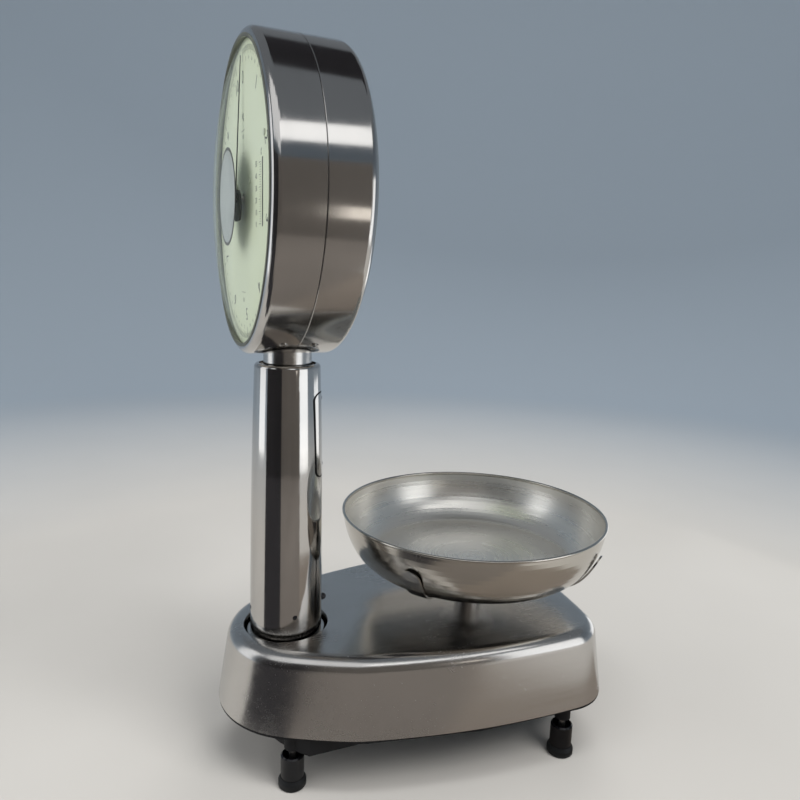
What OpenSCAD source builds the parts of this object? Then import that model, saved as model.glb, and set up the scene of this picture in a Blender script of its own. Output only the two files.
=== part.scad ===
// Counter dial scale: a double-faced dial head on a column, beside a bowl on a low base.
// Millimetres, Z up, feet on Z = 0. The dial faces -Y and the bowl stands at +Y.

/* [Base] */
// Reach of the cover's bottom edge in front of the column's axis
base_front = 75; // [72:1:84]
// Overall length of the cover at its bottom edge
base_length = 446; // [436:1:456]
// Overall width of the cover at its bottom edge
base_width = 303; // [296:1:314]
// Radius of the round nose under the column
nose_r = 98; // [94:1:104]
// Distance of the waist behind the column's axis
waist_y = 74; // [66:1:90]
// Width of the cover at the waist
waist_w = 249; // [244:1:262]
// Radius of the waist's round
waist_r = 82; // [70:1:100]
// Distance of the flank behind the column's axis
flank_y = 189; // [175:1:200]
// Width of the cover at the flank
flank_w = 293; // [286:1:300]
// Radius of the flank's round
flank_r = 87; // [70:1:100]
// Radius of the two corners at the bowl's end
corner_r = 60; // [50:1:64]
// Radius of the bowed edge between the corners
tail_r = 88; // [70:1:95]
// How far the bowed edge stands past the corners
tail_bow = 10; // [6:1:16]
// Height of the cover's bottom edge above the table
cover_z = 68; // [64:1:76]
// Height of the cover from edge to top
cover_h = 83; // [80:1:88]
// Slope of the cover's sides in degrees
cover_slope = 8.5; // [6:0.5:10]
// Radius of the rolled shoulder
shoulder_r = 16; // [10:1:18]
// Sheet thickness of the cover
cover_t = 1.6; // [1.2:0.1:2.5]
// Diameter of the hole that the column passes
column_hole_d = 94; // [92:1:100]
// Diameter of the hole that the platform post passes
post_hole_d = 46; // [42:1:56]
// Height of the frame's underside above the table
frame_z = 45; // [42:1:46]
// Wall and floor thickness of the cast frame
frame_t = 5; // [4:0.5:6]
// Width of the frame's deep tray
tray_w = 190; // [184:1:194]
// Distance of the tray's bowed front edge in front of the column's axis
tray_front = 37; // [34:1:42]
// Radius of the tray's bowed front edge
tray_bow_r = 134; // [124:1:150]
// Distance of the tray's rear edge behind the column's axis
tray_back = 330; // [324:1:336]
// Height of the frame's seat for the column
column_seat_z = 116; // [114:1:120]

/* [Feet] */
// Distance of the front feet from the middle plane
front_foot_x = 73; // [68:1:76]
// Distance of the front feet behind the column's axis
front_foot_y = -10; // [-12:1:-4]
// Distance of the rear feet from the middle plane
rear_foot_x = 131; // [124:1:133]
// Distance of the rear feet behind the column's axis
rear_foot_y = 295; // [286:1:300]
// Diameter of the foot studs
stud_d = 8; // [6:0.5:10]
// Diameter of the foot knobs
knob_d = 25; // [22:1:27]
// Height of the top of the knobs above the table
knob_top_z = 37; // [34:1:39]
// Diameter of the rubber pads
pad_d = 30; // [28:1:36]
// Height of the rubber pads
pad_h = 11; // [8:1:14]

/* [Column] */
// Diameter of the column at its foot
column_d = 80; // [78:1:84]
// Diameter of the column at its top
column_top_d = 70; // [68:1:72]
// How late the column draws in on the way up, 1 for a plain cone
column_draw = 2.2; // [1.8:0.1:2.6]
// Wall of the column
column_t = 2.5; // [2:0.1:3]
// Height of the top of the column above the table
column_top_z = 447; // [440:1:500]
// Radius of the column's rounded top shoulder
column_shoulder_r = 4; // [3:0.5:5]
// Diameter of the neck between column and head
neck_d = 51; // [48:1:54]
// Wall of the neck tube
neck_t = 4; // [2:0.5:6]
// Length of neck that shows below the drum
neck_show = 11; // [6:1:20]
// Height of the hatch
hatch_h = 92; // [80:1:100]
// Width of the hatch, straight across
hatch_w = 59; // [50:1:62]
// Height of the hatch's lower edge above the table
hatch_z = 325; // [315:1:330]
// Radius of the hatch's corners
hatch_r = 8; // [4:1:12]

/* [Head] */
// Outer diameter of the drum
drum_d = 308; // [304:1:330]
// Depth of the drum from lip to lip
drum_depth = 92; // [90:1:104]
// Sheet thickness of the drum's shells
shell_t = 1.5; // [1:0.1:2]
// Radius of the drum's rounded lips
lip_r = 8; // [7:0.5:10]
// How far the drum's middle stands in front of the column's axis
head_setback = 5; // [4:1:8]
// Bulge of the lens over its rim
lens_bulge = 17; // [14:0.5:20]
// Thickness of the lens
lens_t = 2.2; // [1.8:0.1:2.6]
// Thickness of the dial plates
dial_t = 1.2; // [1:0.1:1.5]
// Angle of the head screws from the bottom of the drum
head_screw_angle = 25; // [22:1:32]

/* [Movement] */
// Degrees that the pointer turns from empty to full
pointer_sweep = 344; // [330:1:350]
// Draft rod travel for each unit of bowl travel
lever_ratio = 5; // [4.8:0.1:5.2]
// Teeth on each pinion
pinion_teeth = 14; // [14:1:15]
// Module of the pinion and rack teeth
tooth_module = 1; // [1:0.02:1.04]
// Radius of the pendulum sectors
sector_r = 45; // [43:1:47]
// Distance of each pendulum's axis from the middle
pendulum_x = 75; // [74:1:78]
// Height of the pendulum axes above the head's axis
pendulum_up = 28; // [26:1:32]
// Length from a pendulum's axis to its bob
bob_reach = 60; // [56:1:62]
// Diameter of the bobs
bob_d = 36; // [30:1:38]
// Diameter of the draft rod
draft_rod_d = 6; // [5:0.5:7]

/* [Bowl] */
// Diameter of the bowl over its rolled rim
bowl_d = 325; // [300:1:335]
// Height of the bowl
bowl_h = 64; // [56:1:72]
// Diameter of the bowl's flat floor
bowl_floor_d = 248; // [240:1:256]
// How full the bowl's side is, 2 for a quarter of an ellipse
bowl_fullness = 1.73; // [1.6:0.01:2]
// Sheet thickness of the bowl
bowl_t = 1.2; // [1:0.1:1.6]
// Radius of the rolled rim
bowl_rim_r = 1.7; // [1.4:0.1:2]
// Distance of the bowl's axis behind the column's axis
bowl_offset = 236; // [232:1:242]
// Height of the underside of the carrier plate above the table
carrier_z = 194; // [188:1:206]
// Diameter of the carrier plate
carrier_d = 236; // [220:1:244]
// Sheet thickness of the carrier
carrier_t = 2; // [1.6:0.1:2.4]
// Width of the carrier's arms
arm_w = 22; // [18:1:30]
// Height of the carrier's arms
arm_h = 42; // [36:1:44]
// Radius of the fillets between the carrier's plate and its arms
arm_fillet_r = 8; // [5:1:10]
// Turn of the carrier on its post in degrees
carrier_turn = -8; // [-12:1:8]
// Diameter of the platform post
post_d = 32; // [28:1:36]

/* [Fits] */
// Radial clearance of a running fit
run_gap = 0.05; // [0.03:0.01:0.08]
// Clearance between a piece and its seat on another body
seat_gap = 0.3; // [0.3:0.05:0.4]
// Clearance of fixed pieces that slip together
slip_gap = 0.05; // [0.03:0.01:0.1]

/* [Hidden] */
$fn = 72;
eps = 0.01;

// Places along Y: the overall length is centred on Y = 0
column_y = (base_front - bowl_offset - bowl_d / 2) / 2;
bowl_y = column_y + bowl_offset;
head_y = column_y - head_setback;
tail_y = base_length - base_front;

// Radii and heights of the main forms
drum_r = drum_d / 2;
half_depth = drum_depth / 2;
column_r = column_d / 2;
column_top_r = column_top_d / 2;
neck_r = neck_d / 2;
bowl_r = bowl_d / 2;
post_r = post_d / 2;
draft_rod_r = draft_rod_d / 2;
head_z = column_top_z + neck_show + drum_r;
cover_top_z = cover_z + cover_h;
floor_z = frame_z + frame_t;

// Head: radii from the shell inwards
lip_hole_r = drum_r - lip_r;
frame_ring_r = drum_r - shell_t - 0.2;
frame_ring_in = frame_ring_r - 6.3;
frame_ring_w = 42;
neck_socket_top = head_z - frame_ring_in + 26;
lens_clear_r = lip_hole_r - 2.5;
lens_r = lip_hole_r + 1.6;
lens_seat_h = half_depth - shell_t - 1.2;
dial_r = lip_hole_r - 1.5;
dial_front_h = half_depth - 5.2;
dial_back_h = dial_front_h - dial_t;

// Pinion and rack
pitch_r = tooth_module * pinion_teeth / 2;
base_r = pitch_r * cos(20);
tooth_add = 0.8 * tooth_module;
tooth_ded = 1.15 * tooth_module;
tooth_slack = 0.16;
tooth_pitch = PI * tooth_module;
pinion_h0 = 5;
pinion_w = 6;

// Travels that follow from the pointer's sweep
draft_travel = pitch_r * pointer_sweep * PI / 180;
bowl_travel = draft_travel / lever_ratio;

// Lever: short arm to the post, long arm to the draft rod
lever_short = bowl_offset / (lever_ratio - 1);
lever_long = lever_short * lever_ratio;
lever_tilt = bowl_travel / lever_short * 90 / PI;
lever_y = bowl_y + lever_short;
lever_z = frame_z + 38;
lever_drop = bowl_travel / 2;
nose_drop = draft_travel / 2;
link_z = lever_z + 38;
lever_half_t = 5;
fork_half = post_r + 35;
hub_w = 10;
cheek_x = fork_half + 8;
cheek_t = 6;
bracket_half = cheek_x + cheek_t / 2;
shaft_len = 2 * bracket_half + 4;
cross_len = shaft_len + 12;
rod_eye_half = 6;

// Movement plates stand off the middle by this much
plate_h0 = 23;
plate_t = 3;
bridge_half = 2;
DIAL_POSTS = [[pendulum_x + 25, pendulum_up + 18], [34, 14]];
bearing_r = 8;
bearing_w = 5;
arbor_r = 3;
pendulum_shaft_r = 4;
pillar_up = 66;
lug_r = 8;
lug_x = (frame_ring_in - 2.5) * sin(66);
lug_up = (frame_ring_in - 2.5) * cos(66);
yoke_up = -14;
yoke_t = 8;
yoke_half_w = pendulum_x - sector_r + 8;
rack_reach = draft_travel + 8;
rod_foot_z = lever_z + nose_drop;

// Column inside
dashpot_r = 13;
dashpot_y = 19;
dashpot_h = 60;
shelf_z = hatch_z - 27;
shelf_t = 4;
hatch_proud = 0.2;
HATCH_SCREW_Z = [hatch_z + 9, hatch_z + hatch_h - 9];
column_screw_z = cover_top_z + 23;
piston_arm_z = shelf_z + shelf_t + dashpot_h + draft_travel + 3;

// Feet, front pair then rear pair
FEET = [
    [front_foot_x, column_y + front_foot_y], [-front_foot_x, column_y + front_foot_y],
    [rear_foot_x, column_y + rear_foot_y], [-rear_foot_x, column_y + rear_foot_y]
];

// Radius of the column's outside and inside at a height
function column_out(z) = column_r - (column_r - column_top_r)
    * pow(max(0, z - column_seat_z) / (column_top_z - column_seat_z), column_draw);
function column_in(z) = column_out(z) - column_t;

STEEL = [0.78, 0.79, 0.8];
DARK_STEEL = [0.4, 0.41, 0.42];
BLACK = [0.07, 0.07, 0.075];
BRASS = [0.78, 0.62, 0.3];

// Front or rear of the head: x to the viewer's right, y up, z out of the dial
module face(side) {
    translate([0, head_y, head_z])
        rotate([0, 0, side == "rear" ? 180 : 0])
            rotate([90, 0, 0])
                children();
}

// A cylinder along X, centred on the origin
module bar_x(r, length) {
    rotate([0, 90, 0])
        cylinder(r = r, h = length, center = true);
}

// A rectangle with round corners, centred
module round_rect(w, h, r) {
    square([w - 2 * r, h], center = true);
    square([w, h - 2 * r], center = true);
    for (sx = [-1, 1], sy = [-1, 1])
        translate([sx * (w / 2 - r), sy * (h / 2 - r)])
            circle(r = r);
}

// The cover's bottom outline as its round places: [x, y from the column, radius]
PLAN = [
    [0, nose_r - base_front, nose_r],
    [waist_w / 2 - waist_r, waist_y, waist_r],
    [flank_w / 2 - flank_r, flank_y, flank_r],
    [base_width / 2 - corner_r, tail_y - tail_bow - corner_r, corner_r],
    [0, tail_y - tail_r, tail_r]
];

// The same outline set in by some millimetres, as a flat shape
module plan(inset) {
    translate([0, column_y])
        hull()
            for (p = PLAN, s = [-1, 1])
                translate([s * p[0], p[1]])
                    circle(r = p[2] - inset, $fn = 64);
}

// One round place of the cover, sloped and with its rolled shoulder
module plan_round(r, z0, z1, inset) {
    slope = tan(cover_slope);
    roll = shoulder_r - inset;
    side_r = r - inset - (z1 - z0 - roll) * slope;
    rotate_extrude($fn = 48)
        polygon(concat(
            [[0, z0], [r - inset, z0]],
            [for (a = [0 : 18 : 90])
                [side_r - roll + roll * cos(a), z1 - roll + roll * sin(a)]],
            [[0, z1]]
        ));
}

module plan_solid(z0, z1, inset) {
    translate([0, column_y, 0])
        hull()
            for (p = PLAN, s = [-1, 1])
                translate([s * p[0], p[1], 0])
                    plan_round(p[2], z0, z1, inset);
}

module base_cover() {
    color(STEEL)
        difference() {
            plan_solid(cover_z, cover_top_z, 0);
            plan_solid(cover_z - eps, cover_top_z - cover_t, cover_t);
            translate([0, column_y, cover_top_z - 20])
                cylinder(d = column_hole_d, h = 40);
            translate([0, bowl_y, cover_top_z - 20])
                cylinder(d = post_hole_d, h = 40);
        }
}

// Outline of the deep tray, set in by some millimetres: straight sides and a bowed front edge
module tray_plan(inset) {
    r = tray_bow_r - inset;
    half = tray_w / 2 - inset;
    end = asin(half / r);
    translate([0, column_y])
        polygon(concat(
            [for (i = [-8 : 8])
                [r * sin(i * end / 8), tray_bow_r - tray_front - r * cos(i * end / 8)]],
            [[half, tray_back - inset], [-half, tray_back - inset]]
        ));
}

// Cast frame: a deck under the cover's edge with a deep tray, a seat tower for the column
// and a boss over each foot
module base_frame() {
    tower_r = column_r + 20;
    tower_in_r = tower_r - 11;
    boss_r = stud_d / 2 + 5;
    deck_z = cover_z - 3;
    upstand = cover_t + 2;
    tower_room = column_seat_z - 7 - floor_z;
    color(BLACK)
        difference() {
            union() {
                translate([0, 0, frame_z])
                    linear_extrude(cover_z - frame_z)
                        tray_plan(0);
                translate([0, 0, deck_z])
                    linear_extrude(cover_z - deck_z)
                        plan(0.6);
                translate([0, 0, cover_z - 1])
                    linear_extrude(9)
                        difference() {
                            plan(upstand);
                            plan(upstand + frame_t);
                        }
            }
            translate([0, 0, floor_z])
                linear_extrude(cover_z)
                    tray_plan(frame_t);
            foot_holes();
        }
    color(BLACK)
        difference() {
            union() {
                intersection() {
                    translate([0, column_y, floor_z - 1])
                        cylinder(r = tower_r, h = deck_z - floor_z + 2);
                    translate([0, 0, floor_z - 2])
                        linear_extrude(cover_z - floor_z + 4)
                            tray_plan(1);
                }
                translate([0, column_y, deck_z])
                    cylinder(r = tower_r, h = column_seat_z - deck_z);
                for (f = FEET)
                    translate([f[0], f[1], frame_z])
                        cylinder(r = boss_r, h = cover_z + 4 - frame_z);
            }
            translate([0, column_y, floor_z])
                cylinder(r = tower_in_r, h = tower_room);
            translate([0, column_y, floor_z])
                cylinder(r = column_r - 7.5, h = column_seat_z);
            translate([-35, column_y, floor_z])
                cube([70, tower_r + 5, tower_room]);
            collar_bolt_places()
                cylinder(r = 2.5 + slip_gap, h = 40, center = true);
            foot_holes();
        }
}

module foot_holes() {
    for (f = FEET)
        translate([f[0], f[1], frame_z - eps])
            cylinder(r = stud_d / 2 + slip_gap, h = 60);
}

// Collar that holds the foot of the column on its seat
module column_collar() {
    color(STEEL)
        translate([0, column_y, column_seat_z])
            difference() {
                rotate_extrude()
                    polygon([
                        [column_r + slip_gap, 0], [column_r + 19, 0], [column_r + 19, 6],
                        [column_r + 7, 6], [column_r + 5.5, 26], [column_r + 3, 28.5],
                        [column_r + slip_gap, 28.5]
                    ]);
                translate([0, -column_y, -column_seat_z])
                    collar_bolt_places()
                        cylinder(r = 2.5 + slip_gap, h = 40, center = true);
            }
}

module collar_bolt_places() {
    translate([0, column_y, column_seat_z])
        for (a = [30, 150, 210, 330])
            rotate(a)
                translate([column_r + 13.5, 0, 0])
                    children();
}

module collar_bolts() {
    color(DARK_STEEL)
        collar_bolt_places()
            difference() {
                union() {
                    translate([0, 0, -12])
                        cylinder(r = 2.5, h = 19);
                    translate([0, 0, 6.05])
                        cylinder(r = 4.25, h = 5);
                }
                translate([0, 0, 8])
                    cylinder(r = 2, h = 4, $fn = 6);
            }
}

// Column tube: draws in towards a recessed top, hatch opening at the bowl's side
module column_tube() {
    r = column_shoulder_r;
    hole = neck_r + slip_gap;
    rim = neck_r + 4.5;
    z0 = column_seat_z;
    z1 = column_top_z - r;
    z2 = column_top_z - 19;
    color(STEEL)
        difference() {
            translate([0, column_y, 0])
                rotate_extrude($fn = 96)
                    polygon(concat(
                        [for (i = [0 : 12]) let (z = z0 + (z1 - z0) * i / 12) [column_out(z), z]],
                        [for (a = [15 : 15 : 90])
                            [column_out(z1) - r + r * cos(a), z1 + r * sin(a)]],
                        [[rim, column_top_z], [rim, column_top_z - 5], [hole, column_top_z - 5],
                            [hole, column_top_z - 15]],
                        [for (i = [12 : -1 : 0]) let (z = z0 + (z2 - z0) * i / 12) [column_in(z), z]]
                    ));
            hatch_cut(0.8);
            column_screw_holes(slip_gap);
        }
}

// Ring with the column's wall, a little thicker outside and thinner inside
module column_wall(z0, z1, proud, under) {
    translate([0, column_y, 0])
        rotate_extrude($fn = 96)
            polygon(concat(
                [for (i = [0 : 6]) let (z = z0 + (z1 - z0) * i / 6) [column_out(z) + proud, z]],
                [for (i = [6 : -1 : 0]) let (z = z0 + (z1 - z0) * i / 6) [column_in(z) + under, z]]
            ));
}

module hatch_cut(gap) {
    translate([0, column_y, hatch_z + hatch_h / 2])
        rotate([-90, 0, 0])
            linear_extrude(column_r + 10)
                round_rect(hatch_w + 2 * gap, hatch_h + 2 * gap, hatch_r + gap);
}

// Curved plate that closes the opening, flush with the tube
module column_hatch() {
    color(STEEL)
        difference() {
            intersection() {
                column_wall(hatch_z - 5, hatch_z + hatch_h + 5, hatch_proud, slip_gap);
                hatch_cut(0);
            }
            hatch_screw_places()
                cylinder(r = 1.6, h = 12, center = true);
        }
}

module hatch_screw_places() {
    for (z = HATCH_SCREW_Z)
        translate([0, column_y + column_out(z), z])
            rotate([-90, 0, 0])
                children();
}

// Two curved straps behind the plate, which bridge the opening
module hatch_straps() {
    strap_t = 1.6;
    color(DARK_STEEL)
        difference() {
            for (z = HATCH_SCREW_Z)
                translate([0, column_y, 0])
                    rotate(16)
                        rotate_extrude(angle = 148)
                            polygon([
                                [column_in(z - 6) - 0.02 - strap_t, z - 6], [column_in(z - 6) - 0.02, z - 6],
                                [column_in(z + 6) - 0.02, z + 6], [column_in(z + 6) - 0.02 - strap_t, z + 6]
                            ]);
            hatch_screw_places()
                cylinder(r = 1.6, h = 12, center = true);
        }
}

module hatch_screws() {
    color(DARK_STEEL)
        hatch_screw_places() {
            translate([0, 0, -4.4])
                cylinder(r = 1.5, h = 4.8);
            translate([0, 0, hatch_proud + 0.15])
                rotate_extrude($fn = 32)
                    polygon([[0, 0], [3.2, 0], [3.2, 0.5], [2.4, 1.3], [0, 1.6]]);
        }
}

// Clamp screw on the bowl's side and set screws on the other three
module column_screw_holes(gap) {
    translate([0, column_y, column_screw_z])
        for (a = [0 : 90 : 270])
            rotate([0, 90, a])
                cylinder(r = 2.5 + gap, h = column_r + 5);
}

module column_screws() {
    out = column_out(column_screw_z);
    color(BLACK)
        translate([0, column_y, column_screw_z]) {
            for (a = [0, 180, 270])
                rotate([0, 90, a])
                    translate([0, 0, out - column_t - 3])
                        difference() {
                            cylinder(r = 2.5, h = column_t + 2.4);
                            translate([0, 0, column_t + 1])
                                cylinder(r = 1.2, h = 3, $fn = 6);
                        }
            rotate([-90, 0, 0])
                difference() {
                    union() {
                        translate([0, 0, out - column_t - 3])
                            cylinder(r = 2.5, h = column_t + 4);
                        translate([0, 0, out + slip_gap])
                            rotate_extrude($fn = 32)
                                polygon([[0, 0], [4, 0], [4, 2.5], [3.2, 5], [1.6, 6.4], [0, 6.8]]);
                    }
                    translate([0, 0, out + 4])
                        cylinder(r = 1.5, h = 6, $fn = 6);
                }
        }
}

// Tube that joins column and head
module neck_tube() {
    z0 = column_top_z - 24;
    color(STEEL)
        translate([0, column_y, z0])
            difference() {
                cylinder(r = neck_r, h = neck_socket_top - 8 - z0);
                translate([0, 0, -1])
                    cylinder(r = neck_r - neck_t, h = head_z);
            }
}

// Ring behind the drum's seam, with the neck's socket and the movement's lugs
module head_frame() {
    socket_r = neck_r + 4;
    color(DARK_STEEL)
        difference() {
            union() {
                face("front")
                    translate([0, 0, -frame_ring_w / 2])
                        difference() {
                            cylinder(r = frame_ring_r, h = frame_ring_w, $fn = 120);
                            translate([0, 0, -1])
                                cylinder(r = frame_ring_in, h = frame_ring_w + 2, $fn = 120);
                        }
                intersection() {
                    translate([0, column_y, head_z - drum_r])
                        cylinder(r = socket_r, h = neck_socket_top - head_z + drum_r);
                    face("front")
                        cylinder(r = frame_ring_r, h = 2 * drum_depth, center = true, $fn = 120);
                }
                face("front")
                    for (s = [-1, 1])
                        translate([s * lug_x, lug_up, -plate_h0])
                            cylinder(r = lug_r, h = 2 * plate_h0);
            }
            translate([0, column_y, head_z - drum_r - 1])
                cylinder(r = neck_r + slip_gap, h = neck_socket_top - head_z + drum_r - 7);
            translate([0, column_y, head_z - drum_r - 1])
                cylinder(r = neck_r - neck_t, h = drum_r);
            head_screw_places()
                translate([0, 0, -12])
                    cylinder(r = 2 + slip_gap, h = 20);
        }
}

// Radial places of the four screws, origin on the drum's outer surface
module head_screw_places() {
    for (side = ["front", "rear"], s = [-1, 1])
        face(side)
            rotate([0, 0, s * head_screw_angle])
                translate([0, -drum_r, frame_ring_w / 2 - 6])
                    rotate([90, 0, 0])
                        children();
}

module head_screws() {
    color(STEEL)
        head_screw_places()
            difference() {
                union() {
                    translate([0, 0, -5.5])
                        cylinder(r = 2, h = 5);
                    translate([0, 0, -shell_t])
                        cylinder(r1 = 2.2, r2 = 2.1 + 1.4 * shell_t, h = shell_t - 0.1);
                }
                translate([0, 0, -0.8])
                    cube([6, 1, 2], center = true);
            }
}

// Half of the drum: rim wall, rounded lip and the opening for the lens
module head_shell(side) {
    c = [drum_r - lip_r, half_depth - lip_r];
    r_in = lip_r - shell_t;
    color(STEEL)
        difference() {
            face(side)
                rotate_extrude($fn = 120)
                    polygon(concat(
                        [[drum_r - shell_t, 0.25], [drum_r - 0.4, 0.25], [drum_r, 0.65]],
                        [for (a = [0 : 7.5 : 90]) c + lip_r * [cos(a), sin(a)]],
                        [for (a = [90 : -7.5 : 0]) c + r_in * [cos(a), sin(a)]]
                    ));
            translate([0, column_y, head_z - drum_r - 10])
                cylinder(r = neck_r + 0.8, h = 30);
            head_screw_places() {
                cylinder(r = 2.3, h = 12, center = true);
                translate([0, 0, -shell_t])
                    cylinder(r1 = 2.3, r2 = 2.3 + 2.8 * shell_t, h = 2 * shell_t);
            }
        }
}

// Height of the curved underside of the lip, some millimetres outside the lens opening
function lip_under(x) = half_depth - lip_r + sqrt(pow(lip_r - shell_t, 2) - x * x);

// Rubber profile that grips the lip and holds the lens
module gasket(side) {
    h = half_depth;
    top = lens_seat_h;
    low = lens_seat_h - lens_t;
    color([0.35, 0.37, 0.3])
        face(side)
            rotate_extrude($fn = 120)
                polygon([
                    [lens_clear_r, top + slip_gap], [lens_clear_r, h + 0.2],
                    [lens_clear_r + 0.8, h + 0.8], [lip_hole_r + 0.3, h + 0.8],
                    [lip_hole_r + 0.8, h + 0.4], [lip_hole_r + 0.8, h + slip_gap],
                    [lip_hole_r - slip_gap, h + slip_gap], [lip_hole_r - slip_gap, h - shell_t - slip_gap],
                    [lip_hole_r + 1.5, lip_under(1.5) - 0.15], [lip_hole_r + 3.3, lip_under(3.3) - 0.25],
                    [lip_hole_r + 3.3, low - 1.4], [lens_clear_r + 1.7, low - 1.4],
                    [lens_clear_r + 1.7, low - slip_gap], [lens_r + slip_gap, low - slip_gap],
                    [lens_r + slip_gap, top + slip_gap]
                ]);
}

// Domed clear lens: full in the middle, steeper near its rim
function lens_out(r) = lens_seat_h + lens_bulge * (1 - pow(r / lens_clear_r, 4));

module lens(side) {
    radii = [for (i = [0 : 20]) lens_clear_r * sin(i * 4.5)];
    color([0.8, 0.9, 0.9, 0.3])
        face(side)
            rotate_extrude($fn = 96)
                polygon(concat(
                    [for (r = radii) [r, lens_out(r)]],
                    [[lens_r, lens_seat_h], [lens_r, lens_seat_h - lens_t]],
                    [for (i = [20 : -1 : 0]) [radii[i], lens_out(radii[i]) - lens_t]]
                ));
}

module dial(side) {
    color([0.85, 0.88, 0.78])
        face(side)
            translate([0, 0, dial_back_h])
                difference() {
                    cylinder(r = dial_r, h = dial_t, $fn = 120);
                    translate([0, 0, -1])
                        cylinder(r = 5, h = dial_t + 2);
                    dial_post_places()
                        cylinder(r = 1.6, h = 20, center = true);
                }
}

module dial_post_places() {
    for (s = [-1, 1], p = DIAL_POSTS)
        translate([s * p[0], p[1], 0])
            children();
}

// Posts between the movement plates and the dials, each with a flat screw head on the dial
module dial_posts() {
    color(BRASS)
        for (side = ["front", "rear"])
            face(side)
                dial_post_places() {
                    translate([0, 0, plate_h0 + plate_t])
                        cylinder(r = 4, h = dial_back_h - plate_h0 - plate_t);
                    translate([0, 0, dial_back_h - 1])
                        cylinder(r = 1.5, h = dial_t + 1.4);
                    translate([0, 0, dial_front_h + slip_gap])
                        cylinder(r = 3, h = 0.8);
                }
}

// Side plate of the movement, carried on the frame's lugs
module movement_plate(side) {
    outer = [[lug_x, lug_up, lug_r], [pendulum_x, pendulum_up, 14], [0, 0, 14], [0, pillar_up, 14]];
    color(DARK_STEEL)
        face(side)
            translate([0, 0, plate_h0])
                difference() {
                    linear_extrude(plate_t)
                        difference() {
                            hull()
                                for (p = outer, s = [-1, 1])
                                    translate([s * p[0], p[1]])
                                        circle(r = p[2], $fn = 48);
                            for (s = [-1, 1])
                                translate([s * 60, 50])
                                    round_rect(54, 12, 5);
                        }
                    translate([0, 0, -1]) {
                        cylinder(r = bearing_r + slip_gap, h = plate_t + 2);
                        for (s = [-1, 1])
                            translate([s * pendulum_x, pendulum_up, 0])
                                cylinder(r = pendulum_shaft_r + slip_gap, h = plate_t + 2);
                    }
                }
}

// Bar on the middle plane that carries the inner ends of both arbors
module movement_bridge() {
    color(BRASS)
        face("front")
            translate([0, 0, -bridge_half])
                difference() {
                    union() {
                        cylinder(r = 5, h = 2 * bridge_half);
                        translate([-4, 0, 0])
                            cube([8, pillar_up, 2 * bridge_half]);
                        translate([0, pillar_up, 0])
                            cylinder(r = 9, h = 2 * bridge_half);
                    }
                    translate([0, 0, -1]) {
                        cylinder(r = 2 + run_gap, h = 10);
                        translate([0, pillar_up, 0])
                            cylinder(r = 5 + slip_gap, h = 10);
                    }
                }
}

module movement_pillars() {
    color(BRASS)
        face("front")
            for (x = [-36, 0, 36])
                translate([x, pillar_up, -plate_h0])
                    cylinder(r = 5, h = 2 * plate_h0);
}

// Ball bearing ring in each plate's middle
module arbor_bearings() {
    color(STEEL)
        for (side = ["front", "rear"])
            face(side)
                translate([0, 0, plate_h0 - 1])
                    difference() {
                        cylinder(r = bearing_r, h = bearing_w);
                        translate([0, 0, -1])
                            cylinder(r = arbor_r + run_gap, h = bearing_w + 2);
                        translate([0, 0, bearing_w - 0.6])
                            ring_cut();
                        translate([0, 0, -0.4])
                            ring_cut();
                    }
}

module ring_cut() {
    difference() {
        cylinder(r = bearing_r - 1.6, h = 1);
        translate([0, 0, -1])
            cylinder(r = arbor_r + 1.6, h = 3);
    }
}

module pendulum_shafts() {
    color(STEEL)
        face("front")
            for (s = [-1, 1])
                translate([s * pendulum_x, pendulum_up, -plate_h0 - plate_t])
                    cylinder(r = pendulum_shaft_r, h = 2 * (plate_h0 + plate_t));
}

// Involute tooth form, with angles in degrees
function inv_angle(r) = let (a = acos(min(1, base_r / r))) tan(a) * 180 / PI - a;
function tooth_half(r) =
    (tooth_pitch / 2 - tooth_slack) / (2 * pitch_r) * 180 / PI + inv_angle(pitch_r) - inv_angle(r);
function polar(r, a) = [r * cos(a), r * sin(a)];

module pinion_shape() {
    tip_r = pitch_r + tooth_add;
    root_r = pitch_r - tooth_ded;
    radii = [for (i = [0 : 4]) base_r + (tip_r - base_r) * i / 4];
    step = 360 / pinion_teeth;
    polygon([
        for (i = [0 : pinion_teeth - 1])
            let (mid = (i + 0.5) * step)
                each concat(
                    [polar(root_r, mid - tooth_half(base_r))],
                    [for (r = radii) polar(r, mid - tooth_half(r))],
                    [for (k = [4 : -1 : 0]) polar(radii[k], mid + tooth_half(radii[k]))],
                    [polar(root_r, mid + tooth_half(base_r))]
                )
    ]);
}

// Arbor with its pinion, from the bridge out to the pointer's hub
module arbor(side) {
    color(STEEL)
        face(side) {
            translate([0, 0, 0.2])
                cylinder(r = 2, h = 5);
            translate([0, 0, bridge_half + 0.4])
                cylinder(r = arbor_r, h = dial_front_h + 1 - bridge_half);
            translate([0, 0, pinion_h0])
                linear_extrude(pinion_w)
                    pinion_shape();
            translate([0, 0, dial_front_h])
                cylinder(r = 2, h = half_depth + 1 - dial_front_h);
        }
}

// Pointer: hub, slim needle that leans towards the dial, counterweight behind the hub
module pointer(side) {
    h = half_depth;
    reach = dial_r - 12;
    lean = atan(5.6 / reach);
    color(BLACK)
        face(side)
            difference() {
                union() {
                    translate([0, 0, h - 2.4])
                        cylinder(r = 5, h = 7);
                    translate([0, 0, h + 2.2])
                        rotate([-lean, 0, 0])
                            linear_extrude(0.8)
                                polygon([
                                    [-1.7, -14], [1.7, -14], [1.5, 20],
                                    [0.5, reach], [-0.5, reach], [-1.5, 20]
                                ]);
                    translate([0, 0, h - 0.6])
                        linear_extrude(2)
                            intersection() {
                                translate([0, -9])
                                    circle(r = 17);
                                translate([-20, -22])
                                    square([40, 40]);
                            }
                }
                translate([0, 0, h - 3])
                    cylinder(r = 2 + slip_gap, h = 4.5);
            }
}

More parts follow.
